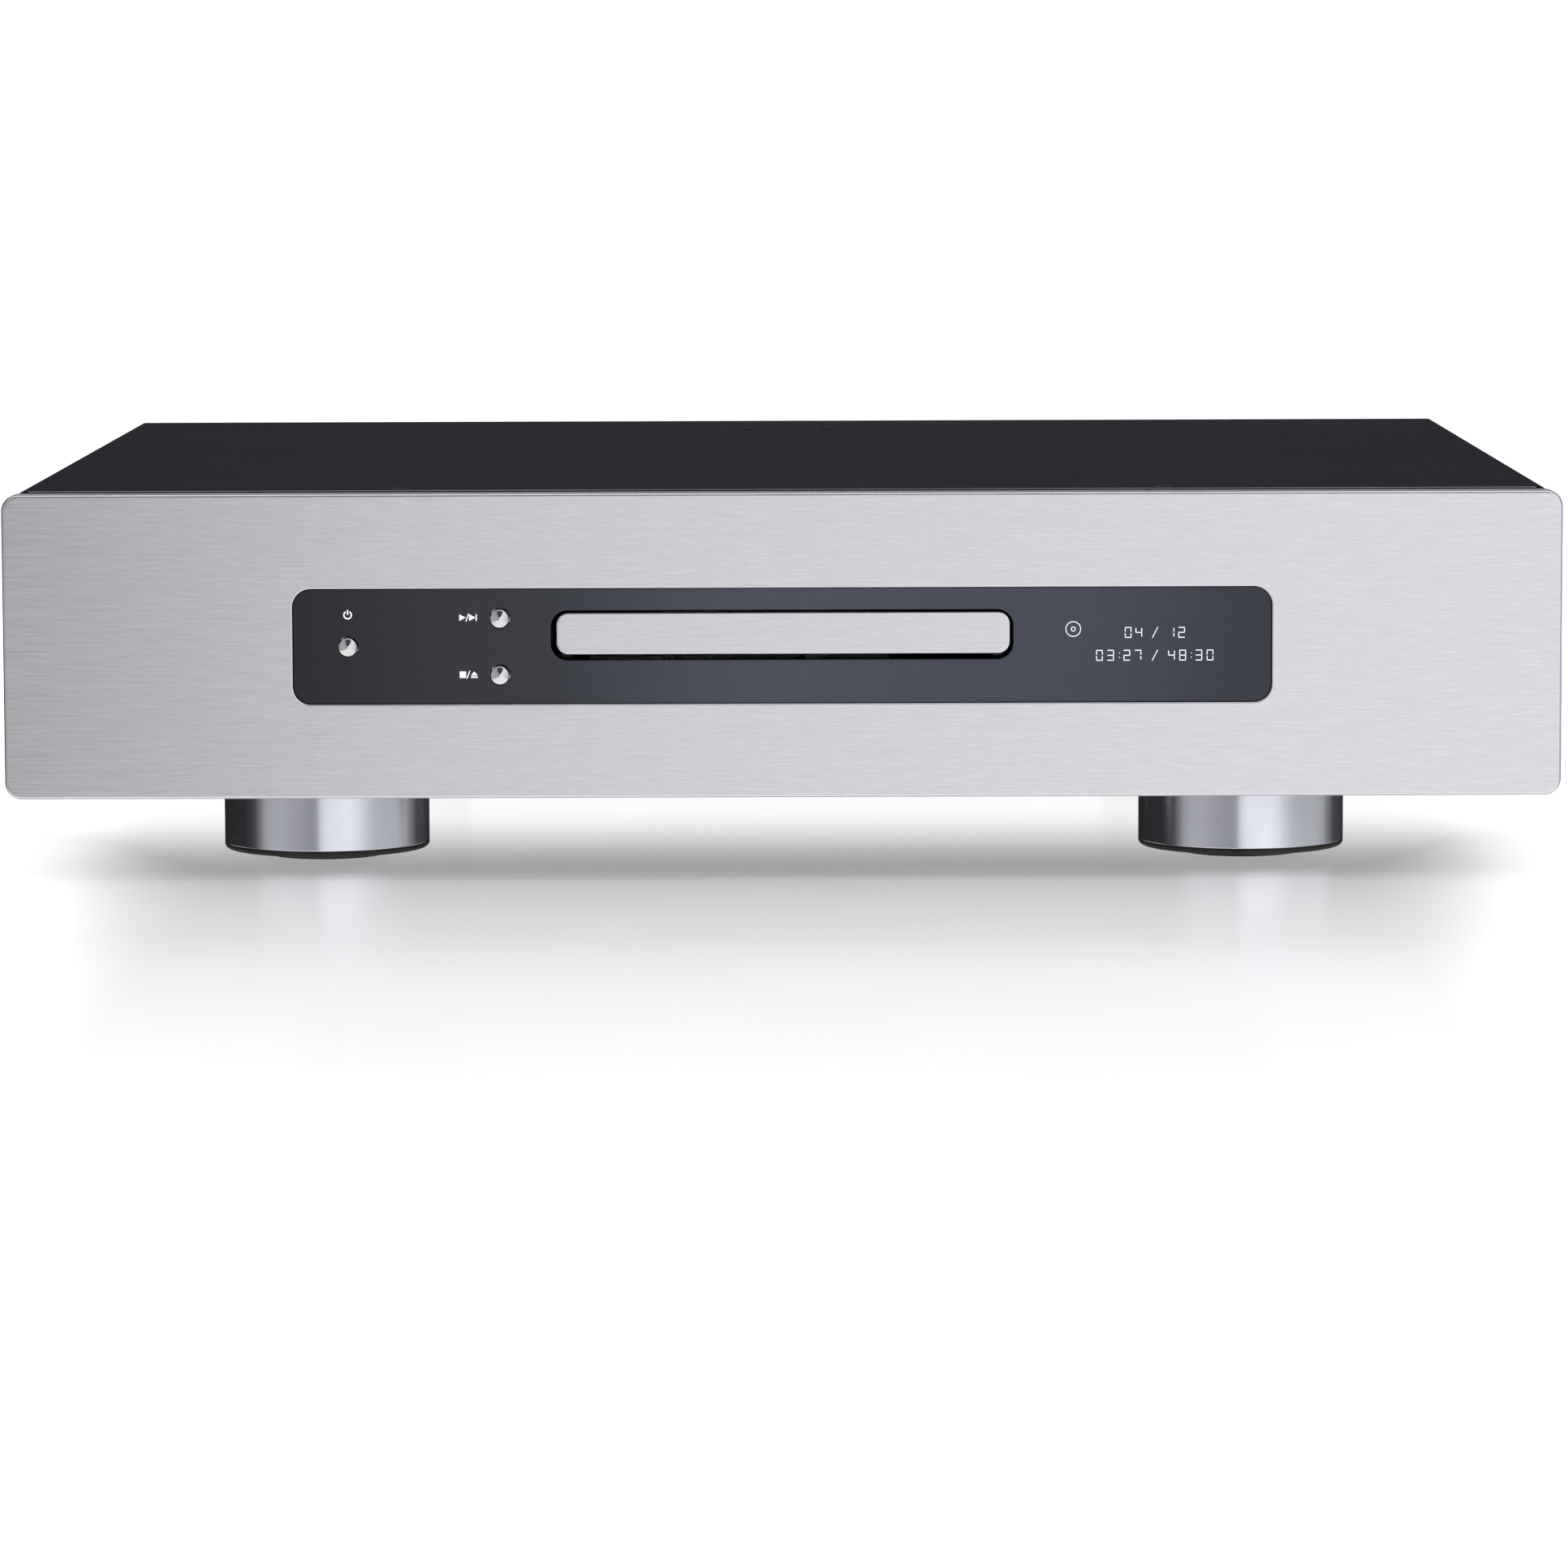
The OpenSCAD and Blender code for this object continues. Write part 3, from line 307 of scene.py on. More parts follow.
core_lo, core_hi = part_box("transformer")
ring_centre = [(a + b) / 2 for a, b in zip(core_lo, core_hi)]
looks = {
    "brushed_aluminium": brushed("brushed_aluminium", (0.72, 0.715, 0.735), (0.91, 0.90, 0.925),
                                 (0.18, 0.28)),
    "foot_aluminium": turned("foot_aluminium", (0.79, 0.80, 0.86), (0.86, 0.87, 0.93), (0.15, 0.22)),
    "polished_steel": turned("polished_steel", 0.74, 0.82, (0.08, 0.14), 0.4),
    "dark_window": window_look(),
    "black_paint": paint_look(),
    "zinc_steel": plain("zinc_steel", 0.50, 0.58, (0.31, 0.43), 500, 0.2, 0.00005, 1.0),
    "black_steel": plain("black_steel", 0.02, 0.035, (0.35, 0.5), 900, 0.2, 0.00004, 0.6),
    "polished_rod": plain("polished_rod", 0.62, 0.72, (0.08, 0.16), 700, 0.05, 0.00002, 1.0),
    "motor_steel": plain("motor_steel", 0.38, 0.5, (0.28, 0.45), 600, 0.15, 0.00004, 1.0),
    "magnet": plain("magnet", 0.3, 0.4, (0.2, 0.35), 600, 0.1, 0.00004, 1.0),
    "rubber": plain("rubber", 0.012, 0.022, (0.6, 0.8), 1200, 0.4, 0.00008),
    "black_plastic": plain("black_plastic", 0.0245, 0.0310, (0.36, 0.48), 1400, 0.3, 0.00006),
    "white_plastic": plain("white_plastic", 0.68, 0.76, (0.35, 0.5), 1000, 0.15, 0.00004,
                           Subsurface_Weight=0.05),
    "board_green": board("board_green"),
    "winding_tape": winding("winding_tape", ring_centre),
    "gold_plate": plain("gold_plate", (0.72, 0.47, 0.16), (0.86, 0.62, 0.26), (0.14, 0.26), 800, 0.1,
                        0.00003, 1.0),
    "capacitor_sleeve": plain("capacitor_sleeve", (0.012, 0.014, 0.03), (0.02, 0.024, 0.05), (0.2, 0.32),
                              600, 0.1, 0.00004, Coat_Weight=0.3),
    "fin_aluminium": plain("fin_aluminium", 0.5, 0.6, (0.35, 0.5), 700, 0.15, 0.00004, 1.0),
    "wire_jacket": plain("wire_jacket", (0.11, 0.05, 0.02), (0.16, 0.07, 0.03), (0.4, 0.55), 900),
    "lens_glass": plain("lens_glass", (0.45, 0.55, 0.75), (0.55, 0.65, 0.85), (0.02, 0.05), 400, 0.02,
                        0.00001, Transmission_Weight=0.85),
}
icon_white = glow("icon_white", (0.86, 0.88, 0.92), 0.55)
display_light = glow("display_light", (0.70, 0.76, 0.88), 0.75)


# ---------------------------------------------------------------- mesh helpers


def object_from(name, bm, material, body):
    """A mesh object from a bmesh, shaded smooth up to 28 degrees between faces."""
    bmesh.ops.recalc_face_normals(bm, faces=bm.faces)
    mesh = bpy.data.meshes.new(name)
    bm.to_mesh(mesh)
    bm.free()
    mesh.shade_smooth()
    mesh.set_sharp_from_angle(angle=math.radians(28))
    mesh.materials.append(material)
    obj = bpy.data.objects.new(name, mesh)
    bpy.context.scene.collection.objects.link(obj)
    weighted = obj.modifiers.new("even_shading", "WEIGHTED_NORMAL")
    weighted.keep_sharp = True
    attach(obj, body)
    return obj


def rounded_loop(shape, grow=0.0, arc=10):
    """Points (x, z) of a rounded rectangle (width, height, radius, centre x, centre z), in mm."""
    w, h, r, cx, cz = shape
    w, h, r = w + 2 * grow, h + 2 * grow, max(r + grow, 0.01)
    points = []
    for quarter, (sx, sz) in enumerate([(1, 1), (-1, 1), (-1, -1), (1, -1)]):
        for k in range(arc + 1):
            a = math.radians(90 * quarter + 90 * k / arc)
            points.append((cx + sx * (w / 2 - r) + r * math.cos(a),
                           cz + sz * (h / 2 - r) + r * math.sin(a)))
    return points


def ring(bm, points, y):
    """Vertices at points (x, z) and at depth y, in mm."""
    return [bm.verts.new((x * MM, y * MM, z * MM)) for x, z in points]


def join_rings(bm, a, b):
    """A band of quads between two closed rings of as many vertices."""
    for i in range(len(a)):
        j = (i + 1) % len(a)
        bm.faces.new((a[i], a[j], b[j], b[i]))


def rim_rings(bm, shape, sign, y0, y1, edge, steps=5, arc=10):
    """Rings from the front face round a rounded edge and on to the back. sign is -1 in a hole."""
    rings = []
    for k in range(steps + 1):
        a = math.pi / 2 * k / steps
        grow = -sign * edge * (1 - math.sin(a))
        rings.append(ring(bm, rounded_loop(shape, grow, arc), y0 + edge * (1 - math.cos(a))))
    rings.append(ring(bm, rounded_loop(shape, 0, arc), y1))
    for a, b in zip(rings, rings[1:]):
        join_rings(bm, a, b)
    return rings[0], rings[-1]


def loop_edges(bm, loop):
    """The edges round a closed ring of vertices."""
    return [bm.edges.get((v, loop[(i + 1) % len(loop)])) for i, v in enumerate(loop)]


def slab(name, outer, holes, y0, y1, edge, hole_edge, material, body):
    """An upright plate with rounded front edges and rounded holes. Each shape is given in mm."""
    bm = bmesh.new()
    fronts, backs = [], []
    for shape, sign, size in [(outer, 1, edge)] + [(h, -1, hole_edge) for h in holes]:
        front, back = rim_rings(bm, shape, sign, y0, y1, size)
        fronts.append(front)
        backs.append(back)
    for loops in (fronts, backs):
        edges = [e for loop in loops for e in loop_edges(bm, loop)]
        bmesh.ops.triangle_fill(bm, use_beauty=True, edges=edges)
    return object_from(name, bm, material, body)


def lathe(name, profile, centre, axis, material, body, steps):
    """A turned piece: its profile is (radius, height) from one pole to the other, about a centre, in mm."""
    bm = bmesh.new()
    rings = []
    for r, h in profile:
        if r < 1e-6:
            points = [(0.0, 0.0)]
        else:
            turns = [2 * math.pi * k / steps for k in range(steps)]
            points = [(r * math.cos(a), r * math.sin(a)) for a in turns]
        made = []
        for u, v in points:
            p = (u, v, h) if axis == "Z" else (u, h, -v)
            made.append(bm.verts.new(tuple(c * MM for c in p)))
        rings.append(made)
    for a, b in zip(rings, rings[1:]):
        for i in range(steps):
            j = (i + 1) % steps
            corners = [a[i % len(a)], a[j % len(a)], b[j % len(b)], b[i % len(b)]]
            unique = list(dict.fromkeys(corners))
            if len(unique) > 2:
                bm.faces.new(unique)
    obj = object_from(name, bm, material, body)
    obj.data.transform(Matrix.Translation([c * MM for c in centre]))
    return obj


def arc_profile(cx, cz, r, start, end, steps):
    """Points of a circular arc in a profile, from one angle to the other in degrees."""
    turns = [math.radians(start + (end - start) * k / steps) for k in range(steps + 1)]
    return [(cx + r * math.cos(a), cz + r * math.sin(a)) for a in turns]


def smooth_group():
    """A modifier group that merges the CAD mesh's split corners and shades it smooth up to 30 degrees."""
    tree = bpy.data.node_groups.new("smooth_cad", "GeometryNodeTree")
    tree.interface.new_socket("Geometry", in_out="INPUT", socket_type="NodeSocketGeometry")
    tree.interface.new_socket("Geometry", in_out="OUTPUT", socket_type="NodeSocketGeometry")
    start = tree.nodes.new("NodeGroupInput")
    end = tree.nodes.new("NodeGroupOutput")
    merge = tree.nodes.new("GeometryNodeMergeByDistance")
    merge.inputs["Distance"].default_value = 1e-6
    faces = tree.nodes.new("GeometryNodeSetShadeSmooth")
    edges = tree.nodes.new("GeometryNodeSetShadeSmooth")
    edges.domain = "EDGE"
    edges.inputs["Shade Smooth"].default_value = False
    angle = tree.nodes.new("GeometryNodeInputMeshEdgeAngle")
    sharp = tree.nodes.new("FunctionNodeCompare")
    sharp.operation = "GREATER_THAN"
    sharp.inputs[1].default_value = math.radians(30)
    tree.links.new(start.outputs[0], merge.inputs["Geometry"])
    tree.links.new(merge.outputs[0], faces.inputs["Geometry"])
    tree.links.new(faces.outputs[0], edges.inputs["Geometry"])
    tree.links.new(angle.outputs["Unsigned Angle"], sharp.inputs[0])
    tree.links.new(sharp.outputs[0], edges.inputs["Selection"])
    tree.links.new(edges.outputs[0], end.inputs[0])
    return tree


# ---------------------------------------------------------------- CAD nodes

smoothing = smooth_group()
for part in frame["record"]["subparts"]:
    cad = nodes[part["node"]]
    for holder in cad.material_slots:
        holder.material = looks[part["material_slot"]]
    cad.modifiers.new("smooth", "NODES").node_group = smoothing

# Bevel widths in mm of the CAD nodes whose edges show.
SOFTENED = {"top_cover": 0.25, "disc_tray": 0.3, "power_inlet": 0.3, "xlr_sockets": 0.25, "rca_sockets": 0.2,
            "mains_rocker": 0.25, "rocker_housing": 0.25, "optical_socket": 0.2}
for name, width in SOFTENED.items():
    bevel = nodes[name].modifiers.new("soft_edges", "BEVEL")
    bevel.width = width * MM
    bevel.segments = 2
    bevel.limit_method = "ANGLE"
    bevel.angle_limit = math.radians(50)
    bevel.harden_normals = True
    bevel.use_clamp_overlap = True


# ---------------------------------------------------------------- front


def mm_box(node):
    """A CAD node's lowest and highest corners, in mm."""
    low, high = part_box(node)
    return [c / MM for c in low], [c / MM for c in high]


def size_and_middle(low, high):
    """Width, height, middle x and middle z of a box seen from the front."""
    return high[0] - low[0], high[2] - low[2], (low[0] + high[0]) / 2, (low[2] + high[2]) / 2


PLATE_CORNER = 4.5
WINDOW_GAP = 0.3         # the plate's opening over the glass
WINDOW_CORNER = 5.0
SLOT = (127.6, 13.9, 4.6)
SLOT_DROP = 0.4          # the slot's middle below the tray front's
TRAY_CORNER = 3.4
HOLE_R = 2.9
BUTTON_R = 2.5
BUTTON_DOME = [(0, 0), (0.25, 0.01), (0.5, 0.06), (0.9, 0.19), (1.6, 0.47), (2.2, 0.73)]
FLANGE = (11.4, 12.4, 3.8, 1.7)     # start, end and radius of the cap's flange, and radius of its stem

plate_lo, plate_hi = mm_box("front_panel")
glass_lo, glass_hi = mm_box("window_panel")
tray_lo, tray_hi = mm_box("tray_front")
plate_w, plate_h, _, plate_z = size_and_middle(plate_lo, plate_hi)
glass_w, glass_h, _, window_z = size_and_middle(glass_lo, glass_hi)
tray_w, tray_h, tray_x, tray_z = size_and_middle(tray_lo, tray_hi)
slot_z = tray_z - SLOT_DROP
window_shape = (glass_w + WINDOW_GAP, glass_h + WINDOW_GAP, WINDOW_CORNER, 0.0, window_z)
glass_shape = (glass_w, glass_h, WINDOW_CORNER - WINDOW_GAP / 2, 0.0, window_z)
slot_shape = (*SLOT, 0.0, slot_z)

front = slab("front_plate", (plate_w, plate_h, PLATE_CORNER, 0.0, plate_z), [window_shape],
             plate_lo[1], plate_hi[1], 0.85, 0.4, looks["brushed_aluminium"], "chassis")
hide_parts("front_panel")

button_places = {}
for name in ("power_button", "play_button", "stop_button"):
    low, high = mm_box(name)
    _, _, middle_x, middle_z = size_and_middle(low, high)
    button_places[name] = (middle_x, middle_z, low[1], high[1])

button_holes = [(2 * HOLE_R, 2 * HOLE_R, HOLE_R - 0.001, x, z) for x, z, _, _ in button_places.values()]
window = slab("window_glass", glass_shape, [slot_shape] + button_holes, glass_lo[1], glass_hi[1], 0.15, 0.2,
              looks["dark_window"], "chassis")
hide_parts("window_panel")

tray_face = slab("tray_face", (tray_w, tray_h, TRAY_CORNER, tray_x, tray_z), [], tray_lo[1], tray_hi[1],
                 0.45, 0.1, looks["brushed_aluminium"], "tray")
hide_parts("tray_front")

for name, (x, z, y0, y1) in button_places.items():
    start, end, flange_r, stem_r = FLANGE
    profile = [(r, y0 + y) for r, y in BUTTON_DOME]
    profile += arc_profile(BUTTON_R - 0.2, y0 + 1.02, 0.2, 300, 360, 4)
    profile += [(BUTTON_R, y0 + start), (flange_r, y0 + start), (flange_r, y0 + end), (stem_r, y0 + end),
                (stem_r, y1), (0, y1)]
    cap = lathe(name + "_cap", profile, (x, 0, z), "Y", looks["polished_steel"], name, 72)
    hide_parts(name)


# ---------------------------------------------------------------- cover edge


def round_bar(name, x0, x1, y, z, r, material, body, steps=12):
    """A thin bar along X with domed ends."""
    bm = bmesh.new()
    dome = [(0.15, 0.0), (0.7, 0.12), (1.0, 0.4)]
    places = [(x0 + dx, r * k) for k, dx in dome] + [(x1 - dx, r * k) for k, dx in reversed(dome)]
    rings = []
    for x, radius in places:
        turns = [2 * math.pi * i / steps for i in range(steps)]
        rings.append([bm.verts.new((x * MM, (y + radius * math.cos(a)) * MM, (z + radius * math.sin(a)) * MM))
                      for a in turns])
    for a, b in zip(rings, rings[1:]):
        join_rings(bm, a, b)
    bm.faces.new(rings[0])
    bm.faces.new(rings[-1][::-1])
    return object_from(name, bm, material, body)


# A painted highlight: a thin bright steel bar along the black cover's front edge, standing in for the light
# line that edge catches.
EDGE_INSET = 3.0
cover_lo, cover_hi = mm_box("top_cover")
round_bar("cover_edge_highlight_bar", cover_lo[0] + EDGE_INSET, cover_hi[0] - EDGE_INSET, cover_lo[1] - 0.02,
          cover_hi[2] - 0.2, 0.13, looks["zinc_steel"], "chassis")


# ---------------------------------------------------------------- icons and display


MARK_Y = glass_lo[1] + 0.02     # the marks' back, just inside the glass
MARK_FRONT = MARK_Y - 0.05
ICON_RISE = 8.9                 # the power icon above its button
ICON_BESIDE = 11.1              # the other icons' left edge from their buttons


def flat_mark(name, polygons, material):
    """Thin printed or lit marks on the glass, from closed polygons of (x, z) in mm."""
    bm = bmesh.new()
    for points in polygons:
        back = ring(bm, points, MARK_Y)
        front = ring(bm, points, MARK_FRONT)
        bm.faces.new(back)
        bm.faces.new(front[::-1])
        join_rings(bm, back, front)
    return object_from(name, bm, material, "chassis")


def band_mark(name, cx, cz, r0, r1, start, end, material, steps=40):
    """A thin ring on the glass, or part of one, as one closed mesh."""
    bm = bmesh.new()
    whole = end - start >= 360
    count = steps if whole else steps + 1
    rows = []
    for k in range(count):
        a = math.radians(start + (end - start) * k / steps)
        rows.append([bm.verts.new(((cx + r * math.cos(a)) * MM, yy * MM, (cz + r * math.sin(a)) * MM))
                     for r, yy in ((r0, MARK_Y), (r1, MARK_Y), (r1, MARK_FRONT), (r0, MARK_FRONT))])
    for k in range(steps):
        a, b = rows[k], rows[(k + 1) % count]
        for i in range(4):
            j = (i + 1) % 4
            bm.faces.new((a[i], a[j], b[j], b[i]))
    if not whole:
        bm.faces.new(rows[0])
        bm.faces.new(rows[-1][::-1])
    return object_from(name, bm, material, "chassis")


def bar(x0, z0, x1, z1):
    """A rectangle between two corners."""
    return [(x0, z0), (x1, z0), (x1, z1), (x0, z1)]


def slash(x, z):
    """A leaning stroke between two icons."""
    return [(x, z - 1.1), (x + 0.28, z - 1.1), (x + 1.1, z + 1.1), (x + 0.82, z + 1.1)]


power_x, power_z = button_places["power_button"][:2]
icon_z = power_z + ICON_RISE
band_mark("power_icon_ring", power_x, icon_z, 0.85, 1.2, 122, 418, icon_white)
flat_mark("power_icon_bar", [bar(power_x - 0.18, icon_z + 0.05, power_x + 0.18, icon_z + 1.4)], icon_white)

left = button_places["play_button"][0] - ICON_BESIDE
z = button_places["play_button"][1] + 0.3
flat_mark("play_icon", [[(left, z - 0.92), (left + 1.75, z), (left, z + 0.92)], slash(left + 1.65, z),
                        [(left + 2.7, z - 0.92), (left + 4.5, z), (left + 2.7, z + 0.92)],
                        bar(left + 4.52, z - 0.92, left + 4.85, z + 0.92)], icon_white)
z = button_places["stop_button"][1] + 0.2
flat_mark("stop_icon", [bar(left, z - 0.9, left + 1.75, z + 0.9), slash(left + 1.85, z),
                        [(left + 3.1, z - 0.25), (left + 4.95, z - 0.25), (left + 4.02, z + 0.9)],
                        bar(left + 3.1, z - 0.9, left + 4.95, z - 0.5)], icon_white)

# Lit segments of each digit: a top, g middle, d bottom, f and b upper sides, e and c lower sides.
SEGMENTS = {"0": "abcdef", "1": "bc", "2": "abged", "3": "abgcd", "4": "fgbc", "5": "afgcd", "6": "afgedc",
            "7": "abc", "8": "abcdefg", "9": "abcdfg"}


def digits(text, x, z, height, width, line, advance):
    """Segment digits, colons and slashes as polygons, starting at x with their middle at z."""
    shapes = []
    half = height / 2
    gap = line * 0.2
    for letter in text:
        if letter in SEGMENTS:
            for s in SEGMENTS[letter]:
                if s in "agd":
                    zz = z + {"a": half - line, "g": -line / 2, "d": -half}[s]
                    shapes.append(bar(x + gap, zz, x + width - gap, zz + line))
                else:
                    xx = x + (width - line if s in "bc" else 0)
                    low = z + (line / 2 + gap if s in "bf" else -half + line + gap)
                    high = z + (half - line - gap if s in "bf" else -line / 2 - gap)
                    shapes.append(bar(xx, low, xx + line, high))
            x += advance
        elif letter == ":":
            for zz in (-half * 0.4, half * 0.4):
                shapes.append(bar(x + 0.15, z + zz - line / 2, x + 0.15 + line, z + zz + line / 2))
            x += advance * 0.45
        elif letter == "/":
            shapes.append([(x + 0.1, z - half), (x + 0.1 + line, z - half), (x + width, z + half),
                           (x + width - line, z + half)])
            x += advance
        else:
            x += advance * 0.5
    return shapes


DIGIT = (3.0, 1.85, 0.25)       # height, width and line
flat_mark("display_track", digits("04 / 12", 94.5, slot_z + 0.35, *DIGIT, 2.95), display_light)
flat_mark("display_time", digits("03:27 / 48:30", 86.6, slot_z - 5.95, *DIGIT, 3.08), display_light)
disc_x, disc_z = 80.3, slot_z + 1.35
band_mark("display_disc_rim", disc_x, disc_z, 1.92, 2.15, 0, 360, display_light, 56)
band_mark("display_disc_hub", disc_x, disc_z, 0.45, 0.68, 0, 360, display_light, 32)


# ---------------------------------------------------------------- feet

FOOT_R = 29.25
BOSS_R = 18.0           # the rim's boss, and the housing's recess over it
BOSS_H = 2.2
RIM_R = 1.5             # the rounding round the rim's foot

foot_lo, foot_hi = mm_box("foot_housings")
pad_lo, pad_hi = mm_box("foot_pads")
foot_dx = foot_hi[0] - FOOT_R
foot_dy = foot_hi[1] - FOOT_R
pad_r = pad_hi[0] - foot_dx
low, high, pad_top = foot_lo[2], foot_hi[2], pad_hi[2]

housing_profile = [(0, low + BOSS_H), (BOSS_R, low + BOSS_H), (BOSS_R, low + 0.02), (FOOT_R - 0.3, low + 0.02)]
housing_profile += arc_profile(FOOT_R - 0.3, low + 0.32, 0.3, 285, 360, 5)
housing_profile += arc_profile(FOOT_R - 0.4, high - 0.4, 0.4, 0, 90, 5) + [(0, high)]
rim_profile = [(0, pad_top)] + arc_profile(FOOT_R - RIM_R, pad_top + RIM_R, RIM_R, 270, 360, 8)
rim_profile += [(FOOT_R - 0.05, low), (BOSS_R - 0.1, low), (BOSS_R - 0.1, low + BOSS_H - 0.3),
                (0, low + BOSS_H - 0.3)]
pad_profile = [(0, 0), (pad_r - 0.3, 0)] + arc_profile(pad_r - 0.3, 0.3, 0.3, 280, 360, 4)
pad_profile += [(pad_r, pad_top), (0, pad_top)]
FOOT_PIECES = [("foot_housing", housing_profile, "foot_aluminium", "foot_housings", 144),
               ("foot_rim", rim_profile, "rubber", "foot_rims", 144),
               ("foot_pad", pad_profile, "rubber", "foot_pads", 96)]
for i, (sx, sy) in enumerate([(-1, -1), (1, -1), (-1, 1), (1, 1)], 1):
    for name, profile, slot, node, steps in FOOT_PIECES:
        piece = lathe("%s_%d" % (name, i), profile, (sx * foot_dx, sy * foot_dy, 0), "Z", looks[slot],
                      "chassis", steps)
        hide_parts(node)


# ---------------------------------------------------------------- floor and light

floor_mesh = bpy.data.meshes.new("floor")
bm = bmesh.new()
bmesh.ops.create_grid(bm, x_segments=8, y_segments=8, size=14.0)
bm.to_mesh(floor_mesh)
bm.free()
floor = bpy.data.objects.new("floor", floor_mesh)
bpy.context.scene.collection.objects.link(floor)
floor.location.z = -0.00002
floor.visible_glossy = False

FLOOR_GLOW = 0.41       # emission all over the floor
PAINTED_LIGHT_BESIDE = 0.62      # painted light: more of it to either side of the case, lifting the shade there
PAINTED_LIGHT_UNDER = 0.96       # and under its middle: painted light that lifts the case's shade off the floor
FLOOR_MIRROR = 0.36
FLOOR_GREY = (0.78, 0.80)

floor_look = Look("pale_floor")
floor_tree = floor_look.tree
spot = floor_look.add("ShaderNodeSeparateXYZ")
floor_look.link(floor_look.coord.outputs["Object"], spot.inputs[0])
length = floor_look.add("ShaderNodeVectorMath")
length.operation = "LENGTH"
floor_look.link(floor_look.coord.outputs["Object"], length.inputs[0])
reach = length.outputs["Value"]
# Painted light on the floor: emission raised beside the case and under its middle, where its shade would fall.
painted_light_beside = fade(floor_tree, calc(floor_tree, "ABSOLUTE", spot.outputs["X"]), 0.155, 0.215, 0.0, PAINTED_LIGHT_BESIDE)
from_middle = calc(floor_tree, "ABSOLUTE", calc(floor_tree, "SUBTRACT", spot.outputs["Y"], 0.02))
under = fade(floor_tree, from_middle, 0.03, 0.20, PAINTED_LIGHT_UNDER, 0.0)
painted_floor_light = calc(floor_tree, "MAXIMUM", painted_light_beside, under)
floor_look.drive("Emission Strength", calc(floor_tree, "ADD", painted_floor_light, FLOOR_GLOW))
floor_look.drive("Base Color", floor_look.ramp(floor_look.noise((6, 6, 6)), *FLOOR_GREY))
floor_look.set(Roughness=0.9, Specular_IOR_Level=0.0, Emission_Color=(1, 1, 1, 1))
shine = floor_look.add("ShaderNodeBsdfGlossy", Color=(0.90, 0.92, 0.95, 1))
floor_look.link(floor_look.ramp(floor_look.noise((30, 30, 30)), 0.15, 0.19), shine.inputs["Roughness"])
polished = mix_shader(floor_tree, fade(floor_tree, reach, 0.25, 0.72, FLOOR_MIRROR, 0.0),
                      floor_look.bsdf.outputs["BSDF"], shine.outputs["BSDF"])
white = floor_look.add("ShaderNodeEmission", Color=(1, 1, 1, 1), Strength=1.1)
whole = mix_shader(floor_tree, fade(floor_tree, reach, 0.7, 1.7), polished, white.outputs["Emission"])
floor_look.link(whole, floor_tree.nodes["Material Output"].inputs["Surface"])
floor_mesh.materials.append(floor_look.mat)

TOP_BOX = Vector((0.0, 0.3, 2.2))
TOP_BOX_AIM = Vector((0.0, 0.0, 0.05))
box_data = bpy.data.lights.new("top_box", "AREA")
box_data.shape = "RECTANGLE"
box_data.size, box_data.size_y = 3.0, 2.2
box_data.energy = 17
top_box = bpy.data.objects.new("top_box", box_data)
bpy.context.scene.collection.objects.link(top_box)
top_box.location = TOP_BOX
top_box.rotation_euler = (TOP_BOX_AIM - TOP_BOX).to_track_quat("-Z", "Y").to_euler()
top_box.visible_glossy = False


# ---------------------------------------------------------------- world

# What shiny surfaces see, by direction round the object in degrees from the front, right positive.
AROUND = [(-180, 0.02), (-106, 0.02), (-93, 0.04), (-85, 0.07), (-77, 0.20), (-70, 0.38), (-60, 0.45),
          (-50, 0.45), (-27, 0.37), (-14, 0.33), (-8, 0.34), (-6, 0.50), (-4, 0.74), (0, 0.84), (5, 0.94),
          (12, 0.95), (28, 0.97), (38, 0.88), (48, 0.68), (60, 0.53), (76, 0.50), (92, 0.49), (102, 0.42),
          (113, 0.20), (126, 0.06), (180, 0.02)]
# Over it, in order: the fades of direction parts that bound each lit patch, and the patch's colour.
PATCHES = [([("Z", 0.72, 0.95)], (0.95, 0.96, 1.0)),
           ([("Z", -0.34, -0.54), ("Y", 0.2, -0.2)], (0.98, 0.98, 1.0)),
           ([("Z", -0.22, -0.40), ("Y", 0.1, 0.5)], (0.62, 0.63, 0.66))]
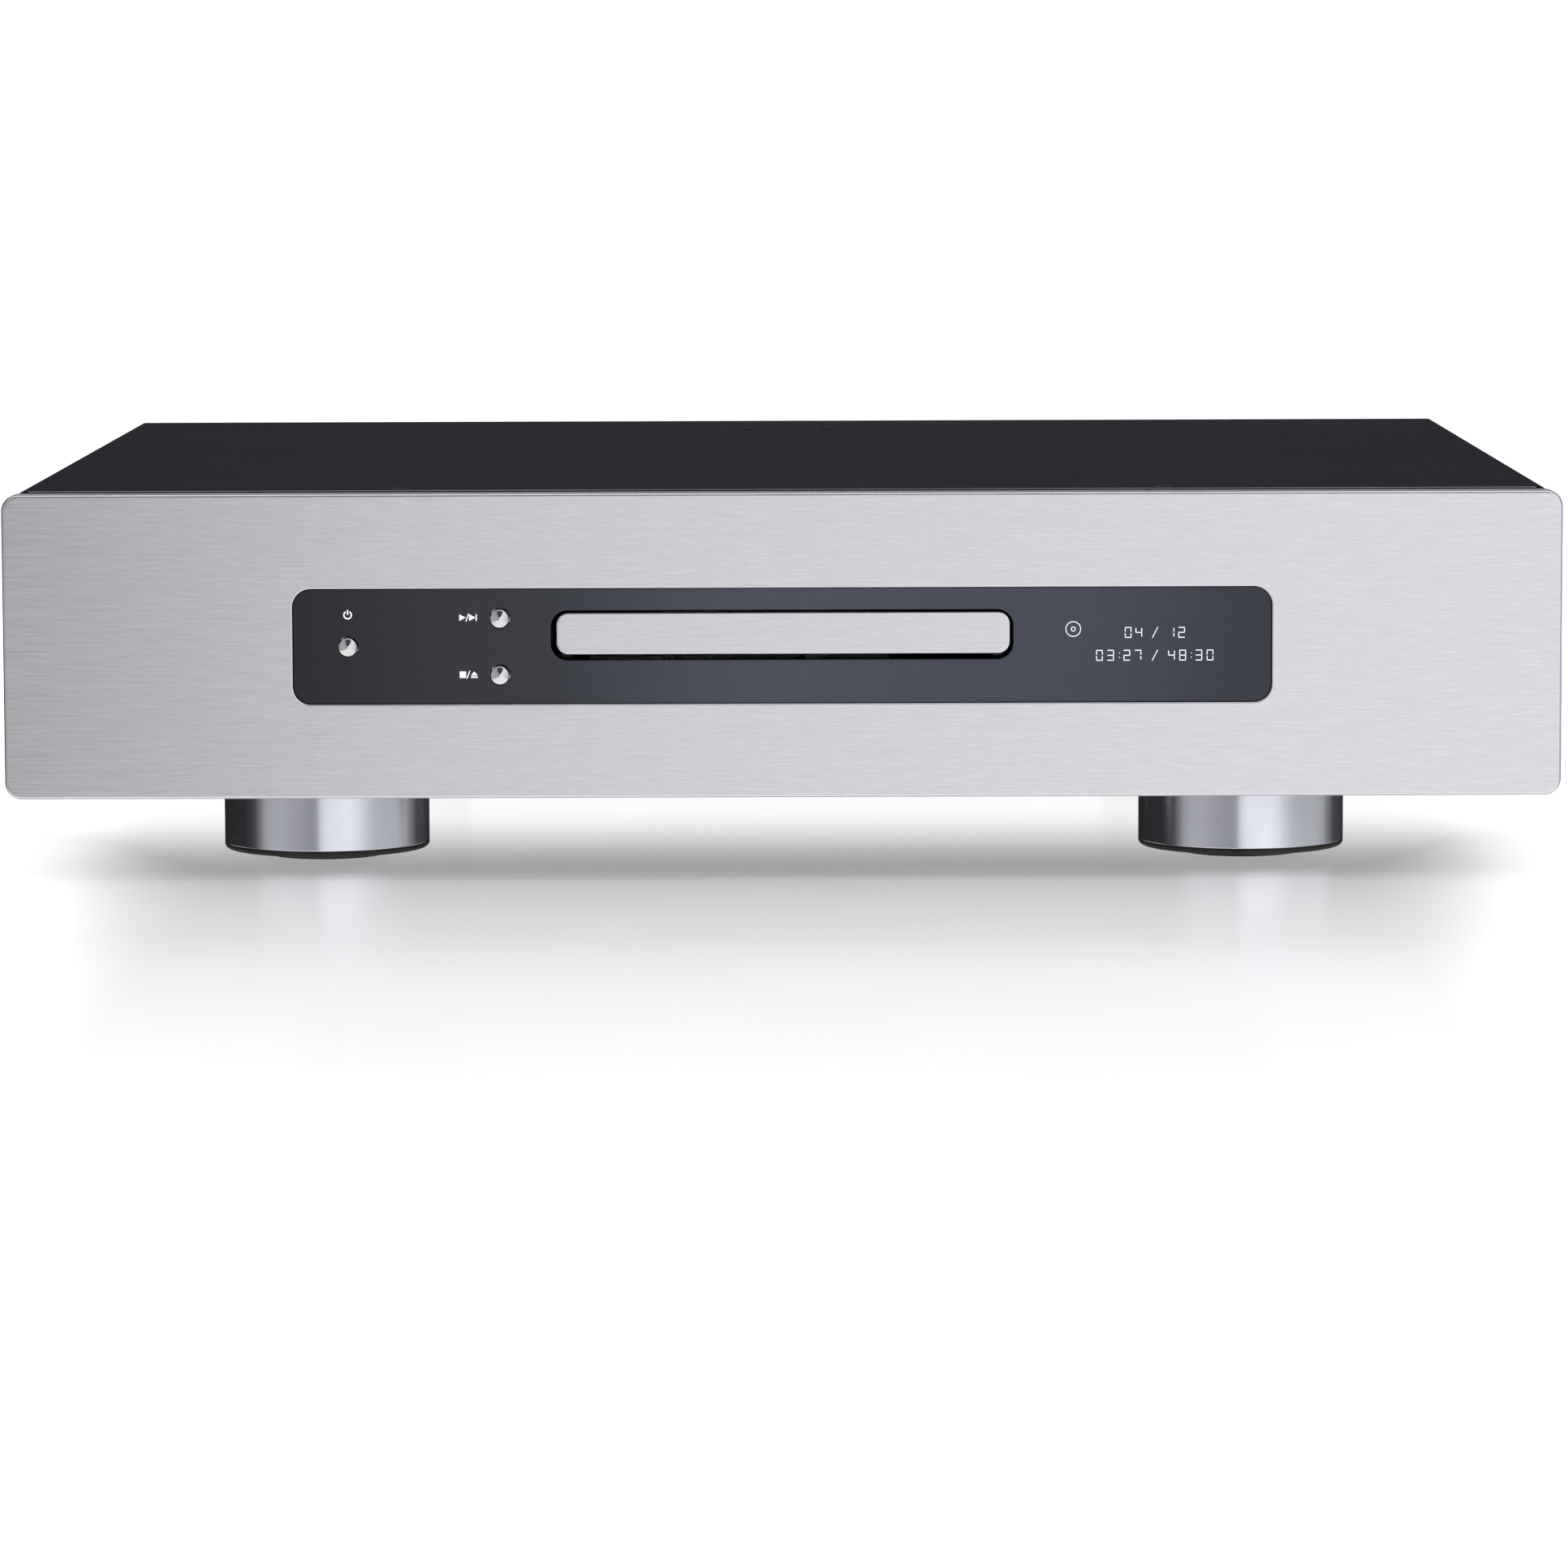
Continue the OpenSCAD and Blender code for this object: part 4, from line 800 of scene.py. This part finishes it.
# Cones round a direction, from the cosine outside to the cosine inside, and their colour.
CONES = [((0, 0.998, 0.064), 0.980, 0.991, (0.36, 0.37, 0.41)),
         ((0, -0.80, 0.60), 0.91, 0.97, (0.06, 0.06, 0.07))]
SOFT_LIGHT = ((0.97, 0.98, 1.0), 0.66)
BACKDROP = ((1.0, 1.0, 1.0), 1.1)

world = bpy.data.worlds.new("studio")
bpy.context.scene.world = world
world.use_nodes = True
tree = world.node_tree
tree.nodes.clear()
direction = tree.nodes.new("ShaderNodeTexCoord").outputs["Generated"]
split = tree.nodes.new("ShaderNodeSeparateXYZ")
tree.links.new(direction, split.inputs[0])


def background(colour, strength):
    """A world shader of a colour or an output."""
    node = tree.nodes.new("ShaderNodeBackground")
    plug(tree, node.inputs["Color"], colour)
    node.inputs["Strength"].default_value = strength
    return node.outputs[0]


angle = calc(tree, "ARCTAN2", split.outputs["X"], calc(tree, "MULTIPLY", split.outputs["Y"], -1.0))
turn = calc(tree, "MULTIPLY_ADD", angle, 1 / (2 * math.pi), 0.5)
mirrored = colour_stops(tree, turn, [(at / 360 + 0.5, (v * 0.985, v * 0.99, min(v * 1.025, 1.0)))
                                     for at, v in AROUND])
for fades, colour in PATCHES:
    masks = [fade(tree, split.outputs[part], start, end) for part, start, end in fades]
    mask = masks[0] if len(masks) == 1 else calc(tree, "MULTIPLY", *masks)
    mirrored = mix_colour(tree, mask, mirrored, grey(colour))
for toward, outer, inner, colour in CONES:
    dot = tree.nodes.new("ShaderNodeVectorMath")
    dot.operation = "DOT_PRODUCT"
    tree.links.new(direction, dot.inputs[0])
    dot.inputs[1].default_value = Vector(toward).normalized()
    mirrored = mix_colour(tree, fade(tree, dot.outputs["Value"], outer, inner), mirrored, grey(colour))

ray = tree.nodes.new("ShaderNodeLightPath")
lit = mix_shader(tree, ray.outputs["Is Glossy Ray"], background(grey(SOFT_LIGHT[0]), SOFT_LIGHT[1]),
                 background(mirrored, 1.0))
seen = mix_shader(tree, ray.outputs["Is Camera Ray"], lit, background(grey(BACKDROP[0]), BACKDROP[1]))
tree.links.new(seen, tree.nodes.new("ShaderNodeOutputWorld").inputs["Surface"])
bpy.context.scene.view_settings.view_transform = "Standard"
